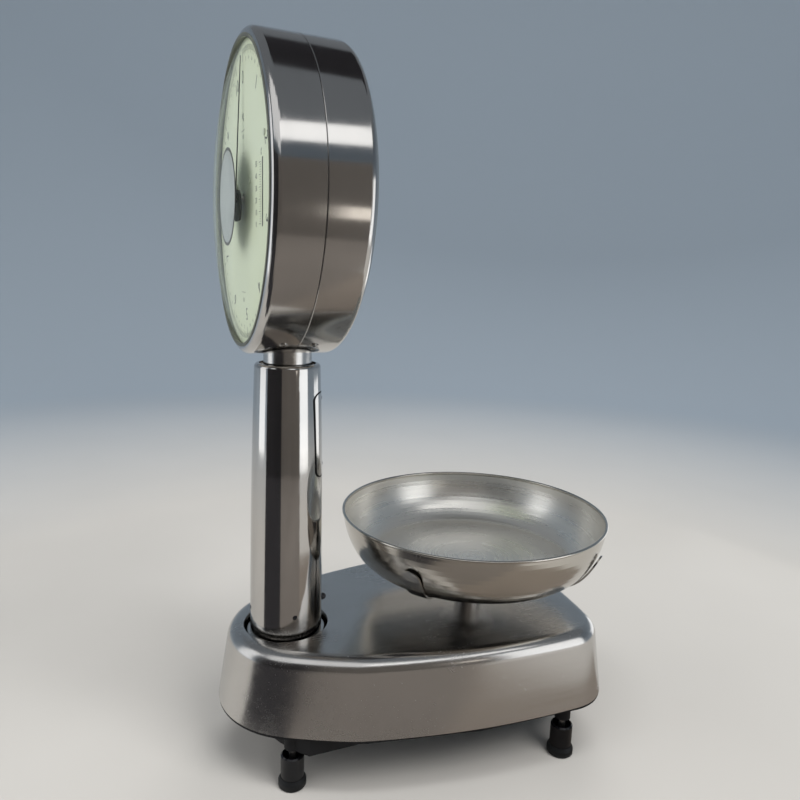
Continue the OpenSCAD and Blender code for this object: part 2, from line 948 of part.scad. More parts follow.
// Cross piece that the racks, the tapes and the draft rod hang on
module yoke() {
    color(DARK_STEEL)
        face("front")
            difference() {
                union() {
                    translate([-yoke_half_w, yoke_up - yoke_t, -7])
                        cube([2 * yoke_half_w, yoke_t, 14]);
                    translate([-16, yoke_up - yoke_t, -14])
                        cube([32, yoke_t, 28]);
                }
                translate([0, yoke_up - yoke_t - 1, -head_setback])
                    rotate([-90, 0, 0])
                        cylinder(r = draft_rod_r + slip_gap, h = yoke_t - 0.5);
            }
}

module racks() {
    n0 = -2;
    n1 = ceil(rack_reach / tooth_pitch);
    t = (tooth_pitch / 2 - tooth_slack) / 2;
    tip_x = pitch_r - tooth_add;
    root_x = pitch_r + tooth_ded;
    slope_tip = tooth_add * tan(20);
    slope_root = tooth_ded * tan(20);
    bottom = (n0 - 0.5) * tooth_pitch;
    top = (n1 + 0.5) * tooth_pitch;
    color(BRASS)
        for (side = ["front", "rear"])
            face(side)
                translate([0, 0, pinion_h0]) {
                    linear_extrude(pinion_w)
                        polygon(concat(
                            [[root_x + 5, top], [root_x + 5, bottom], [root_x, bottom]],
                            [for (n = [n0 : n1])
                                each [
                                    [root_x, n * tooth_pitch - t - slope_root],
                                    [tip_x, n * tooth_pitch - t + slope_tip],
                                    [tip_x, n * tooth_pitch + t - slope_tip],
                                    [root_x, n * tooth_pitch + t + slope_root]
                                ]],
                            [[root_x, top]]
                        ));
                    translate([root_x, yoke_up, 0])
                        cube([5, bottom - yoke_up + 1, pinion_w]);
                }
}

// Draft rod, with the eye that takes the lever's nose pin
module draft_rod() {
    top_z = head_z + yoke_up - 1.5;
    eye_half = rod_eye_half;
    color(STEEL) {
        translate([0, column_y, rod_foot_z + eye_half - 1])
            cylinder(r = draft_rod_r, h = top_z - rod_foot_z - eye_half + 1);
        translate([0, column_y, rod_foot_z])
            difference() {
                rotate([0, 90, 0])
                    linear_extrude(5, center = true)
                        round_rect(2 * eye_half, 2 * eye_half, 4);
                rotate([0, 90, 0])
                    linear_extrude(8, center = true)
                        round_rect(5 + 2 * seat_gap, 5 + 2.6, 2.5);
            }
    }
}

// Steel tapes from the yoke up to the sectors
module draft_tapes() {
    tape_t = 0.4;
    x = pendulum_x - sector_r - slip_gap - tape_t;
    color(STEEL)
        face("front")
            for (s = [-1, 1])
                translate([s * (x + tape_t / 2), (yoke_up + pendulum_up) / 2, 0])
                    cube([tape_t, pendulum_up - yoke_up, 8], center = true);
}

// Pendulum: hub, toothless sector that takes the tape, arm down to the bob
module pendulum(s) {
    color(DARK_STEEL)
        face("front")
            translate([s * pendulum_x, pendulum_up, 0])
                difference() {
                    union() {
                        cylinder(r = 9, h = 2 * plate_h0 - 4, center = true);
                        linear_extrude(10, center = true)
                            intersection() {
                                circle(r = sector_r, $fn = 120);
                                polygon([
                                    [0, -6], [-s * sector_r * 1.2, -10],
                                    [-s * sector_r * 1.4, sector_r], [-s * 8, sector_r * 1.6], [s * 6, 0]
                                ]);
                            }
                        translate([0, -(bob_reach - bob_d / 2) / 2, 0])
                            cube([9, bob_reach - bob_d / 2 + 1, 8], center = true);
                    }
                    cylinder(r = pendulum_shaft_r + run_gap, h = 4 * plate_h0, center = true);
                    translate([-s * 22, 14, 0])
                        cylinder(r = 7, h = 20, center = true);
                }
}

module bob(s) {
    color(BRASS)
        face("front")
            translate([s * pendulum_x, pendulum_up - bob_reach - 0.6, 0])
                rotate_extrude($fn = 64)
                    polygon([
                        [0, -13], [bob_d / 2 - 2, -13], [bob_d / 2, -11],
                        [bob_d / 2, 11], [bob_d / 2 - 2, 13], [0, 13]
                    ]);
}

// Shelf across the column, and the oil cup that stands on it
module dashpot_shelf() {
    shelf_r = column_in(shelf_z + shelf_t) - slip_gap;
    color(DARK_STEEL)
        translate([0, column_y, shelf_z])
            difference() {
                cylinder(r = shelf_r, h = shelf_t);
                translate([0, 0, -1])
                    cylinder(r = draft_rod_r + 2, h = shelf_t + 2);
                translate([0, -shelf_r, shelf_t / 2])
                    cube([30, 30, shelf_t + 2], center = true);
            }
}

module dashpot_cylinder() {
    color(BRASS)
        translate([0, column_y + dashpot_y, shelf_z + shelf_t])
            difference() {
                cylinder(r = dashpot_r, h = dashpot_h);
                translate([0, 0, 3])
                    cylinder(r = dashpot_r - 1.5, h = dashpot_h);
            }
}

// Damper disc and rod on an arm that clamps the draft rod
module dashpot_piston() {
    disc_z = shelf_z + shelf_t + 3 + draft_travel + 4;
    color(STEEL) {
        difference() {
            union() {
                translate([0, column_y, piston_arm_z])
                    cylinder(r = draft_rod_r + 3.5, h = 8);
                translate([-4, column_y, piston_arm_z])
                    cube([8, dashpot_y, 6]);
                translate([0, column_y + dashpot_y, piston_arm_z])
                    cylinder(r = 4, h = 6);
            }
            translate([0, column_y, piston_arm_z - 1])
                cylinder(r = draft_rod_r + slip_gap, h = 12);
        }
        translate([0, column_y + dashpot_y, disc_z])
            cylinder(r = 2, h = piston_arm_z - disc_z + 1);
        translate([0, column_y + dashpot_y, disc_z])
            cylinder(r = dashpot_r - 2.5, h = 3);
    }
}

// Bracket on the frame's floor that carries the lever's and the link's shafts
module fulcrum_bracket() {
    color(DARK_STEEL)
        translate([0, lever_y, 0])
            difference() {
                union() {
                    translate([-bracket_half, -16, floor_z])
                        cube([2 * bracket_half, 32, 5]);
                    for (s = [-1, 1])
                        translate([s * cheek_x - cheek_t / 2, 0, 0]) {
                            translate([0, -12, floor_z])
                                cube([cheek_t, 24, link_z - floor_z]);
                            translate([cheek_t / 2, 0, link_z])
                                bar_x(12, cheek_t);
                        }
                }
                translate([0, 0, lever_z])
                    bar_x(5 + slip_gap, cross_len);
                translate([0, 0, link_z])
                    bar_x(4 + slip_gap, cross_len);
            }
}

module fulcrum_shafts() {
    color(STEEL)
        translate([0, lever_y, 0]) {
            translate([0, 0, lever_z])
                bar_x(5, shaft_len);
            translate([0, 0, link_z])
                bar_x(4, shaft_len);
        }
}

// Forked lever: hubs at the fulcrum, holes for the post's pin, pin at the nose
module main_lever() {
    tip = lever_long;
    half = fork_half;
    inner = fork_half - hub_w;
    crotch = lever_short + 30;
    color(BLACK)
        translate([0, lever_y, lever_z])
            rotate([-lever_tilt, 0, 0])
                difference() {
                    union() {
                        translate([0, 0, -lever_half_t])
                            linear_extrude(2 * lever_half_t)
                                difference() {
                                    polygon([
                                        [-half, 6], [half, 6], [half, -crotch], [9, -tip + 32], [9, -tip - 5],
                                        [-9, -tip - 5], [-9, -tip + 32], [-half, -crotch]
                                    ]);
                                    polygon([
                                        [-inner, 10], [inner, 10], [inner, 2 - crotch], [4, -tip + 60],
                                        [-4, -tip + 60], [-inner, 2 - crotch]
                                    ]);
                                    translate([-3.5, -tip - 10])
                                        square([7, 42]);
                                }
                        for (s = [-1, 1])
                            translate([s * (fork_half - hub_w / 2), 0, 0])
                                bar_x(11, hub_w);
                        translate([0, -tip, 0])
                            bar_x(2.5, 14);
                    }
                    bar_x(5 + run_gap, cross_len);
                    translate([0, -lever_short, 0])
                        bar_x(4 + seat_gap + 0.05, cross_len);
                }
}

// Parallel link that keeps the post upright
module check_link() {
    color(BLACK)
        translate([0, lever_y, link_z])
            rotate([-lever_tilt, 0, 0])
                difference() {
                    union() {
                        bar_x(9, 2 * post_r + 18);
                        for (s = [-1, 1])
                            translate([s * (post_r + 6), 0, 0]) {
                                translate([-3, -lever_short, -6])
                                    cube([6, lever_short, 12]);
                                translate([0, -lever_short, 0])
                                    bar_x(7, 6);
                            }
                    }
                    bar_x(4 + run_gap, cross_len);
                    translate([0, -lever_short, 0])
                        bar_x(3 + seat_gap + 0.05, cross_len);
                }
}

// Post that carries the bowl, with a flange under the carrier
module platform_post() {
    z0 = lever_z + lever_drop - 12;
    color(STEEL)
        translate([0, bowl_y, 0])
            difference() {
                union() {
                    translate([0, 0, z0])
                        cylinder(r = post_r, h = carrier_z - z0);
                    translate([0, 0, carrier_z - 8])
                        rotate_extrude()
                            polygon([[0, 0], [post_r, 0], [post_r + 18, 4], [post_r + 18, 8], [0, 8]]);
                }
                translate([0, 0, lever_z + lever_drop])
                    bar_x(4 + slip_gap, cross_len);
                translate([0, 0, link_z + lever_drop])
                    bar_x(3 + slip_gap, cross_len);
            }
}

module post_pins() {
    color(STEEL)
        translate([0, bowl_y, 0]) {
            translate([0, 0, lever_z + lever_drop])
                bar_x(4, 2 * fork_half + 6);
            translate([0, 0, link_z + lever_drop])
                bar_x(3, 2 * post_r + 20);
        }
}

// Half profile of the bowl: flat floor, elliptical side up to the rim
function bowl_side(a, grow) = [
    bowl_floor_d / 2 + (bowl_r - bowl_rim_r - bowl_floor_d / 2 + grow) * pow(sin(a), 2 / bowl_fullness),
    bowl_z - grow + (bowl_h - bowl_rim_r + grow) * (1 - pow(max(0, cos(a)), 2 / bowl_fullness))
];
bowl_z = carrier_z + carrier_t + seat_gap;

module bowl() {
    rim = [bowl_r - bowl_rim_r, bowl_z + bowl_h - bowl_rim_r];
    color(STEEL)
        translate([0, bowl_y, 0])
            rotate_extrude($fn = 120) {
                polygon(concat(
                    [[0, bowl_z]],
                    [for (a = [0 : 6 : 90]) bowl_side(a, 0)],
                    [for (a = [90 : -6 : 0]) bowl_side(a, -bowl_t)],
                    [[0, bowl_z + bowl_t]]
                ));
                translate(rim)
                    circle(r = bowl_rim_r, $fn = 24);
            }
}

// Pressed plate under the bowl, with four round-ended arms that follow its side
module bowl_carrier() {
    g0 = seat_gap + 0.7;
    g1 = g0 + carrier_t;
    arm_in_r = carrier_d / 2 - 20;
    half = arm_w / 2;
    tip_z = carrier_z + arm_h - half;
    fillet_x = sqrt(pow(carrier_d / 2 + arm_fillet_r, 2) - pow(half + arm_fillet_r, 2));
    fillet_at = [fillet_x, half + arm_fillet_r];
    color(STEEL)
        translate([0, bowl_y, 0]) {
            translate([0, 0, carrier_z])
                cylinder(d = carrier_d, h = carrier_t, $fn = 120);
            translate([0, 0, carrier_z])
                linear_extrude(carrier_t)
                    for (a = [45 : 90 : 315], s = [0, 1])
                        rotate(a + carrier_turn)
                            mirror([0, s])
                                difference() {
                                    polygon([
                                        [arm_in_r, 0], [fillet_x, 0], fillet_at,
                                        fillet_at * carrier_d / (carrier_d + 2 * arm_fillet_r)
                                    ]);
                                    translate(fillet_at)
                                        circle(r = arm_fillet_r);
                                }
            intersection() {
                rotate_extrude($fn = 120)
                    polygon(concat(
                        [[arm_in_r, carrier_z], [bowl_floor_d / 2, carrier_z]],
                        [for (a = [6 : 8 : 70]) bowl_side(a, g1 + arm_flare(a))],
                        [for (a = [70 : -8 : 14]) bowl_side(a, g0 + arm_flare(a))],
                        [[bowl_floor_d / 2, carrier_z + carrier_t], [arm_in_r, carrier_z + carrier_t]]
                    ));
                for (a = [45, 135])
                    rotate([0, 0, a + carrier_turn])
                        rotate([90, 0, 90])
                            linear_extrude(2 * bowl_d, center = true) {
                                translate([0, tip_z])
                                    circle(r = half);
                                translate([-half, carrier_z - 1])
                                    square([arm_w, tip_z - carrier_z + 1]);
                            }
            }
        }
}

// Stand-off of the arms from the bowl, growing towards their tips
function arm_flare(a) = 1.5 * pow(a / 62, 4);

module foot_studs() {
    color(STEEL)
        for (f = FEET)
            translate([f[0], f[1], pad_h + 6])
                cylinder(d = stud_d, h = frame_z + 22 - pad_h - 6);
}

// Knob with a cupped top around the stud
module foot_knob(i) {
    r = knob_d / 2;
    bore = stud_d / 2 + run_gap;
    color(BLACK)
        translate([FEET[i][0], FEET[i][1], 0])
            rotate_extrude()
                polygon([
                    [0, pad_h], [r, pad_h], [r, knob_top_z - 1.5], [r - 1.5, knob_top_z],
                    [r - 2.5, knob_top_z], [r - 4, knob_top_z - 7], [bore, knob_top_z - 8],
                    [bore, pad_h + 5.5], [0, pad_h + 5.5]
                ]);
}

module foot_pad(i) {
    r = pad_d / 2;
    color(BLACK)
        translate([FEET[i][0], FEET[i][1], 0])
            rotate_extrude()
                polygon([
                    [0, 0], [r - 1.5, 0], [r, 1.5], [r, pad_h - 4], [knob_d / 2 + 0.5, pad_h], [0, pad_h]
                ]);
}

base_frame();
base_cover();
column_collar();
collar_bolts();
column_tube();
column_screws();
column_hatch();
hatch_straps();
hatch_screws();
neck_tube();
head_frame();
head_shell("front");  // head_shell_front
head_shell("rear");  // head_shell_rear
head_screws();
gasket("front");  // gasket_front
gasket("rear");  // gasket_rear
lens("front");  // lens_front
lens("rear");  // lens_rear
dial("front");  // dial_front
dial("rear");  // dial_rear
dial_posts();
movement_plate("front");  // movement_plate_front
movement_plate("rear");  // movement_plate_rear
movement_bridge();
movement_pillars();
arbor_bearings();
pendulum_shafts();
dashpot_shelf();
dashpot_cylinder();
fulcrum_bracket();
fulcrum_shafts();
foot_studs();
pointer("front");  // pointer_front
arbor("front");  // arbor_front
pointer("rear");  // pointer_rear
arbor("rear");  // arbor_rear
yoke();
racks();
draft_rod();
draft_tapes();
dashpot_piston();
pendulum(-1);  // pendulum_left
bob(-1);  // bob_left
pendulum(1);  // pendulum_right
bob(1);  // bob_right
main_lever();
check_link();
platform_post();
post_pins();
bowl_carrier();
bowl();
foot_knob(0);  // foot_knob_1
foot_knob(1);  // foot_knob_2
foot_knob(2);  // foot_knob_3
foot_knob(3);  // foot_knob_4
foot_pad(0);  // foot_pad_1
foot_pad(1);  // foot_pad_2
foot_pad(2);  // foot_pad_3
foot_pad(3);  // foot_pad_4
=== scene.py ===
import bmesh
import bpy
import math
from bpy.props import FloatProperty, FloatVectorProperty, IntProperty, PointerProperty
from mathutils import Matrix, Vector


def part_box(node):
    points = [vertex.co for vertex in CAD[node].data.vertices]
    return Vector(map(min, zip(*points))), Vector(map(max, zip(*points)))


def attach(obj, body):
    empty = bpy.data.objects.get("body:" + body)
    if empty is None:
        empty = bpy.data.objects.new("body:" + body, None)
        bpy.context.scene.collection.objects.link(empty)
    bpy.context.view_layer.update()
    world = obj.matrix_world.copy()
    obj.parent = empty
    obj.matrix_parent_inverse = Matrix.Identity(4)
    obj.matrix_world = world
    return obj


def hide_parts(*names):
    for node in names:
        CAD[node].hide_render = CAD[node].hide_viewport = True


bl_info = {
    "name": "Dial Scale Looks",
    "version": (1, 0, 0),
    "blender": (4, 5, 0),
    "location": "3D View > Sidebar > Dial Scale",
    "description": "Dresses the counter dial scale: dial print, cover, finishes, stage",
    "category": "Object",
}

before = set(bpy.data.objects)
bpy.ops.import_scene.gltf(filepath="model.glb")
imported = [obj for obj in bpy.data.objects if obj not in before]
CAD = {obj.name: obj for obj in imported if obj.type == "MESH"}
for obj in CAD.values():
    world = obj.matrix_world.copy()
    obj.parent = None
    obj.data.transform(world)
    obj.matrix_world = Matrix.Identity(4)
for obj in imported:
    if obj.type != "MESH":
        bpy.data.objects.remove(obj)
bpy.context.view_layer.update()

# Places and sizes read from the frame, in metres
DIAL_LOW, DIAL_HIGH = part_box("dial_front")
HEAD_Z = (DIAL_LOW.z + DIAL_HIGH.z) / 2
HEAD_Y = (DIAL_LOW.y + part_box("dial_rear")[1].y) / 2
DIAL_OUT = HEAD_Y - DIAL_LOW.y
LENS_OUT = HEAD_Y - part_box("lens_front")[0].y
COLUMN_LOW, COLUMN_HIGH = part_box("column_tube")
COLUMN_Y = (COLUMN_LOW.y + COLUMN_HIGH.y) / 2
BOWL_LOW, BOWL_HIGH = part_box("bowl")
BOWL_Y = (BOWL_LOW.y + BOWL_HIGH.y) / 2
COVER_LOW, COVER_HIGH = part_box("base_cover")


class HeadPrint(bpy.types.PropertyGroup):
    """What is printed on the two dials"""

    sweep: FloatProperty(
        name="Sweep", description="Turn of the pointer from empty to full",
        default=math.radians(344), subtype="ANGLE",
    )
    capacity: IntProperty(name="Capacity", description="Highest number on the dial", default=10, min=2)
    fine_steps: IntProperty(
        name="Fine steps", description="Finest divisions between two numbers", default=50, min=10
    )
    track_r: FloatProperty(
        name="Track radius", description="Outer ends of the graduations", default=0.1375, unit="LENGTH"
    )
    number_r: FloatProperty(
        name="Number radius", description="Middle of the large numbers", default=0.1135, unit="LENGTH"
    )
    number_size: FloatProperty(
        name="Number size", description="Height of the large numbers", default=0.0125, unit="LENGTH"
    )
    ink_height: FloatProperty(
        name="Ink height", description="Thickness of the print", default=0.00005, unit="LENGTH"
    )
    badge_r: FloatProperty(
        name="Badge radius", description="Bare round plate inside the lens", default=0.0465, unit="LENGTH"
    )


class CoverForm(bpy.types.PropertyGroup):
    """The sheet cover over the base"""

    slope: FloatProperty(
        name="Slope", description="Lean of the sides", default=math.radians(8.5), subtype="ANGLE"
    )
    shoulder: FloatProperty(
        name="Shoulder", description="Radius of the rolled edge", default=0.016, unit="LENGTH"
    )
    sheet: FloatProperty(name="Sheet", description="Thickness of the cover", default=0.0016, unit="LENGTH")
    points: IntProperty(name="Points", description="Points round the outline", default=192, min=48)


class Finishes(bpy.types.PropertyGroup):
    """Colours of the finishes"""

    steel: FloatVectorProperty(
        name="Stainless steel", description="Polished sheet", default=(0.57, 0.555, 0.535), subtype="COLOR"
    )
    dial: FloatVectorProperty(
        name="Dial", description="Enamel of the dials", default=(0.66, 0.72, 0.55), subtype="COLOR"
    )
    ink: FloatVectorProperty(
        name="Ink", description="Print on the dials", default=(0.025, 0.028, 0.03), subtype="COLOR"
    )
    casting: FloatVectorProperty(
        name="Casting", description="Black enamel of the frame",
        default=(0.006, 0.006, 0.007), subtype="COLOR",
    )


class StageSettings(bpy.types.PropertyGroup):
    """Floor, wall and light"""

    floor: FloatVectorProperty(
        name="Floor", description="Pale floor", default=(0.51, 0.485, 0.45), subtype="COLOR"
    )
    wall: FloatVectorProperty(
        name="Wall", description="Cool grey wall", default=(0.32, 0.365, 0.41), subtype="COLOR"
    )
    radius: FloatProperty(name="Radius", description="Flat part of the floor", default=2.2, unit="LENGTH")


def settings():
    return bpy.context.scene.dial_scale


class DialScaleSettings(bpy.types.PropertyGroup):
    """All settings of the dressing"""

    print_: PointerProperty(type=HeadPrint, name="Print", description="Dial print")
    cover: PointerProperty(type=CoverForm, name="Cover", description="Base cover")
    finish: PointerProperty(type=Finishes, name="Finishes", description="Colours")
    stage: PointerProperty(type=StageSettings, name="Stage", description="Floor, wall and light")


# Mesh helpers


def nothing_selected():
    if bpy.context.mode != "OBJECT":
        bpy.ops.object.mode_set(mode="OBJECT")
    bpy.ops.object.select_all(action="DESELECT")


def only(obj):
    nothing_selected()
    obj.select_set(True)
    bpy.context.view_layer.objects.active = obj


def settle(obj):
    only(obj)
    bpy.ops.object.transform_apply(location=True, rotation=True, scale=True)
    return obj


def join(objects, name):
    nothing_selected()
    for o in objects:
        o.select_set(True)
    bpy.context.view_layer.objects.active = objects[0]
    if len(objects) > 1:
        bpy.ops.object.join()
    made = bpy.context.view_layer.objects.active
    made.name = name
    made.data.name = name
    return made


def copy_piece(obj, name, matrix):
    twin = obj.copy()
    twin.data = obj.data.copy()
    twin.name = name
    twin.data.name = name
    bpy.context.scene.collection.objects.link(twin)
    twin.data.transform(matrix)
    return twin


def give(obj, material):
    obj.data.materials.clear()
    obj.data.materials.append(material)


def place(obj, body):
    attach(obj, body)


def smooth(obj, angle=30):
    only(obj)
    bpy.ops.object.shade_smooth_by_angle(angle=math.radians(angle))
    return obj


# From the flat drawing of a face (x right, y up, z out of the dial) to its place on the head
FACE_FRONT = Matrix.Translation((0, HEAD_Y, HEAD_Z)) @ Matrix.Rotation(math.radians(90), 4, "X")
FACE_REAR = (
    Matrix.Translation((0, HEAD_Y, HEAD_Z))
    @ Matrix.Rotation(math.radians(180), 4, "Z")
    @ Matrix.Rotation(math.radians(90), 4, "X")
)


# Shader helpers


def new_material(name):
    mat = bpy.data.materials.get(name)
    if mat:
        return mat, None
    mat = bpy.data.materials.new(name)
    mat.use_nodes = True
    tree = mat.node_tree
    shader = tree.nodes["Principled BSDF"]
    return mat, Shading(tree, shader)


class Shading:
    """Adds nodes to one tree and joins them."""

    def __init__(self, tree, shader=None):
        self.tree = tree
        self.shader = shader

    def node(self, kind, **values):
        made = self.tree.nodes.new(kind)
        for key, value in values.items():
            if hasattr(made, key):
                setattr(made, key, value)
        return made

    def link(self, a, b):
        self.tree.links.new(a, b)

    def feed(self, socket, value):
        if isinstance(value, bpy.types.NodeSocket):
            self.link(value, socket)
        elif value is not None:
            socket.default_value = value

    def math(self, operation, a, b=None, c=None, clamp=False):
        made = self.node("ShaderNodeMath", operation=operation, use_clamp=clamp)
        for socket, value in zip(made.inputs, (a, b, c)):
            self.feed(socket, value)
        return made.outputs[0]

    def mix(self, factor, a, b):
        made = self.node("ShaderNodeMix", data_type="RGBA")
        self.feed(made.inputs[0], factor)
        self.feed(made.inputs[6], a)
        self.feed(made.inputs[7], b)
        return made.outputs[2]

    def noise(self, vector, scale, detail=2.0, roughness=0.5, dimensions="3D"):
        made = self.node("ShaderNodeTexNoise", noise_dimensions=dimensions)
        if vector is not None:
            self.link(vector, made.inputs["Vector"])
        self.feed(made.inputs["Scale"], scale)
        made.inputs["Detail"].default_value = detail
        made.inputs["Roughness"].default_value = roughness
        return made.outputs[0]

    def stretch(self, vector, scale, location=(0, 0, 0)):
        made = self.node("ShaderNodeMapping")
        self.link(vector, made.inputs["Vector"])
        made.inputs["Scale"].default_value = scale
        made.inputs["Location"].default_value = location
        return made.outputs[0]

    def ramp(self, value, low, high, to_low=0.0, to_high=1.0):
        made = self.node("ShaderNodeMapRange", clamp=True)
        self.link(value, made.inputs["Value"])
        for name, number in zip(("From Min", "From Max", "To Min", "To Max"), (low, high, to_low, to_high)):
            self.feed(made.inputs[name], number)
        return made.outputs[0]

    def object_coords(self):
        return self.node("ShaderNodeTexCoord").outputs["Object"]

    def split(self, vector):
        made = self.node("ShaderNodeSeparateXYZ")
        self.link(vector, made.inputs[0])
        return made.outputs

    def length(self, a, b):
        return self.math("SQRT", self.math("ADD", self.math("MULTIPLY", a, a), self.math("MULTIPLY", b, b)))

    def group(self, tree, **values):
        made = self.node("ShaderNodeGroup")
        made.node_tree = tree
        for key, value in values.items():
            self.feed(made.inputs[key.replace("_", " ")], value)
        return made.outputs

    def bump(self, height, distance, strength, normal=None):
        made = self.node("ShaderNodeBump")
        made.inputs["Strength"].default_value = strength
        made.inputs["Distance"].default_value = distance
        self.link(height, made.inputs["Height"])
        if normal is not None:
            self.link(normal, made.inputs["Normal"])
        return made.outputs[0]


def group_tree(name, inputs, outputs):
    tree = bpy.data.node_groups.get(name)
    if tree:
        return tree, None, None, None
    tree = bpy.data.node_groups.new(name, "ShaderNodeTree")
    for socket, kind, default in inputs:
        made = tree.interface.new_socket(name=socket, in_out="INPUT", socket_type=kind)
        if default is not None:
            made.default_value = default
    for socket, kind in outputs:
        tree.interface.new_socket(name=socket, in_out="OUTPUT", socket_type=kind)
    source = tree.nodes.new("NodeGroupInput")
    sink = tree.nodes.new("NodeGroupOutput")
    return tree, Shading(tree), source, sink


def polish_lines():
    """Fine parallel lines left by polishing. The vector is already stretched along the lines."""
    tree, s, source, sink = group_tree(
        "polish lines",
        [
            ("Vector", "NodeSocketVector", None),
            ("Scale", "NodeSocketFloat", 1.0),
            ("Contrast", "NodeSocketFloat", 1.0),
        ],
        [("Lines", "NodeSocketFloat"), ("Bands", "NodeSocketFloat")],
    )
    if s:
        vector = source.outputs["Vector"]
        scale = source.outputs["Scale"]
        fine = s.noise(vector, scale, detail=3.0, roughness=0.7)
        wide = s.noise(vector, s.math("MULTIPLY", scale, 0.06), detail=2.0)
        spread = s.math("MULTIPLY", s.math("SUBTRACT", fine, 0.5), source.outputs["Contrast"])
        s.link(s.math("ADD", spread, 0.5, clamp=True), sink.inputs["Lines"])
        s.link(s.ramp(wide, 0.35, 0.65), sink.inputs["Bands"])
    return tree


def handling_marks():
    """Cloudy stains and small scratches of long use."""
    tree, s, source, sink = group_tree(
        "handling marks",
        [("Vector", "NodeSocketVector", None), ("Scale", "NodeSocketFloat", 1.0)],
        [("Stains", "NodeSocketFloat"), ("Scratches", "NodeSocketFloat")],
    )
    if s:
        vector = source.outputs["Vector"]
        scale = source.outputs["Scale"]
        cloud = s.noise(vector, s.math("MULTIPLY", scale, 9.0), detail=5.0, roughness=0.62)
        s.link(s.ramp(cloud, 0.46, 0.68), sink.inputs["Stains"])
        total = None
        for turn, size in ((0.6, 34.0), (2.1, 27.0)):
            turned = s.node("ShaderNodeVectorRotate", rotation_type="EULER_XYZ")
            s.link(vector, turned.inputs["Vector"])
            turned.inputs["Rotation"].default_value = (turn, turn * 0.7, turn * 1.3)
            drawn = s.stretch(turned.outputs[0], (1.0, 26.0, 26.0))
            streak = s.noise(drawn, s.math("MULTIPLY", scale, size), detail=1.0)
            cut = s.ramp(streak, 0.70, 0.76)
            total = cut if total is None else s.math("MAXIMUM", total, cut)
        s.link(total, sink.inputs["Scratches"])
    return tree


def fine_grain():
    """Even fine grain, for castings, rubber and moulded plastic."""
    tree, s, source, sink = group_tree(
        "fine grain",
        [("Vector", "NodeSocketVector", None), ("Scale", "NodeSocketFloat", 400.0)],
        [("Grain", "NodeSocketFloat"), ("Patches", "NodeSocketFloat")],
    )
    if s:
        vector = source.outputs["Vector"]
        scale = source.outputs["Scale"]
        s.link(s.noise(vector, scale, detail=3.0, roughness=0.6), sink.inputs["Grain"])
        patch = s.noise(vector, s.math("MULTIPLY", scale, 0.04), detail=3.0)
        s.link(s.ramp(patch, 0.35, 0.65), sink.inputs["Patches"])
    return tree


# Finishes


# Noise scales along X, Y and Z: fine across the polish lines, coarse along them
FINE = 1200.0
FINER = 1600.0
LINE_SCALES = {
    "round_y": (2.0, FINER, 2.0),
    "up_z": (FINE, FINE, 2.0),
    "along_y": (FINE, 3.0, FINE),
    "along_x": (3.0, FINE, FINE),
}


def along(s, kind, centre):
    """Object coordinates scaled so that noise runs in lines: as LINE_SCALES says, or in rings round Z."""
    moved = s.stretch(s.object_coords(), (1, 1, 1), tuple(-c for c in centre))
    if kind in LINE_SCALES:
        return s.stretch(moved, LINE_SCALES[kind])
    x, y, z = s.split(moved)
    rings = s.node("ShaderNodeCombineXYZ")
    s.link(s.math("MULTIPLY", s.length(x, y), FINER), rings.inputs[0])
    s.link(s.math("MULTIPLY", z, FINER), rings.inputs[1])
    s.link(s.math("MULTIPLY", s.math("ARCTAN2", y, x), 0.25), rings.inputs[2])
    return rings.outputs[0]


def inner_side(s, focus, top):
    """1 on the faces below top that look towards a point over the dish, 0 on the others."""
    away = s.node("ShaderNodeVectorMath", operation="SUBTRACT")
    s.link(s.object_coords(), away.inputs[0])
    away.inputs[1].default_value = focus
    facing = s.node("ShaderNodeVectorMath", operation="DOT_PRODUCT")
    s.link(s.node("ShaderNodeNewGeometry").outputs["Normal"], facing.inputs[0])
    s.link(away.outputs[0], facing.inputs[1])
    below = s.math("LESS_THAN", s.split(s.object_coords())[2], top)
    return s.math("MULTIPLY", s.math("LESS_THAN", facing.outputs["Value"], 0.0), below)


def gap_shade_line(s, node, corner_r, width):
    """Painted shade mask: 1 along the rounded outline of a plate that is seen along Y, where the gap round
    it is painted dark, 0 inside it.
    """
    low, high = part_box(node)
    parts = s.split(s.object_coords())
    beyond = []
    for axis in (0, 2):
        half = (high[axis] - low[axis]) / 2 - corner_r
        reach = s.math("ABSOLUTE", s.math("SUBTRACT", parts[axis], (high[axis] + low[axis]) / 2))
        beyond.append(s.math("MAXIMUM", s.math("SUBTRACT", reach, half), 0.0))
    return s.ramp(s.length(*beyond), corner_r - width - 0.0002, corner_r - width)


# Painted shade: near black for the narrow gap round the hatch, where shade falls
GAP_SHADE_BLACK = (0.012, 0.012, 0.012, 1)


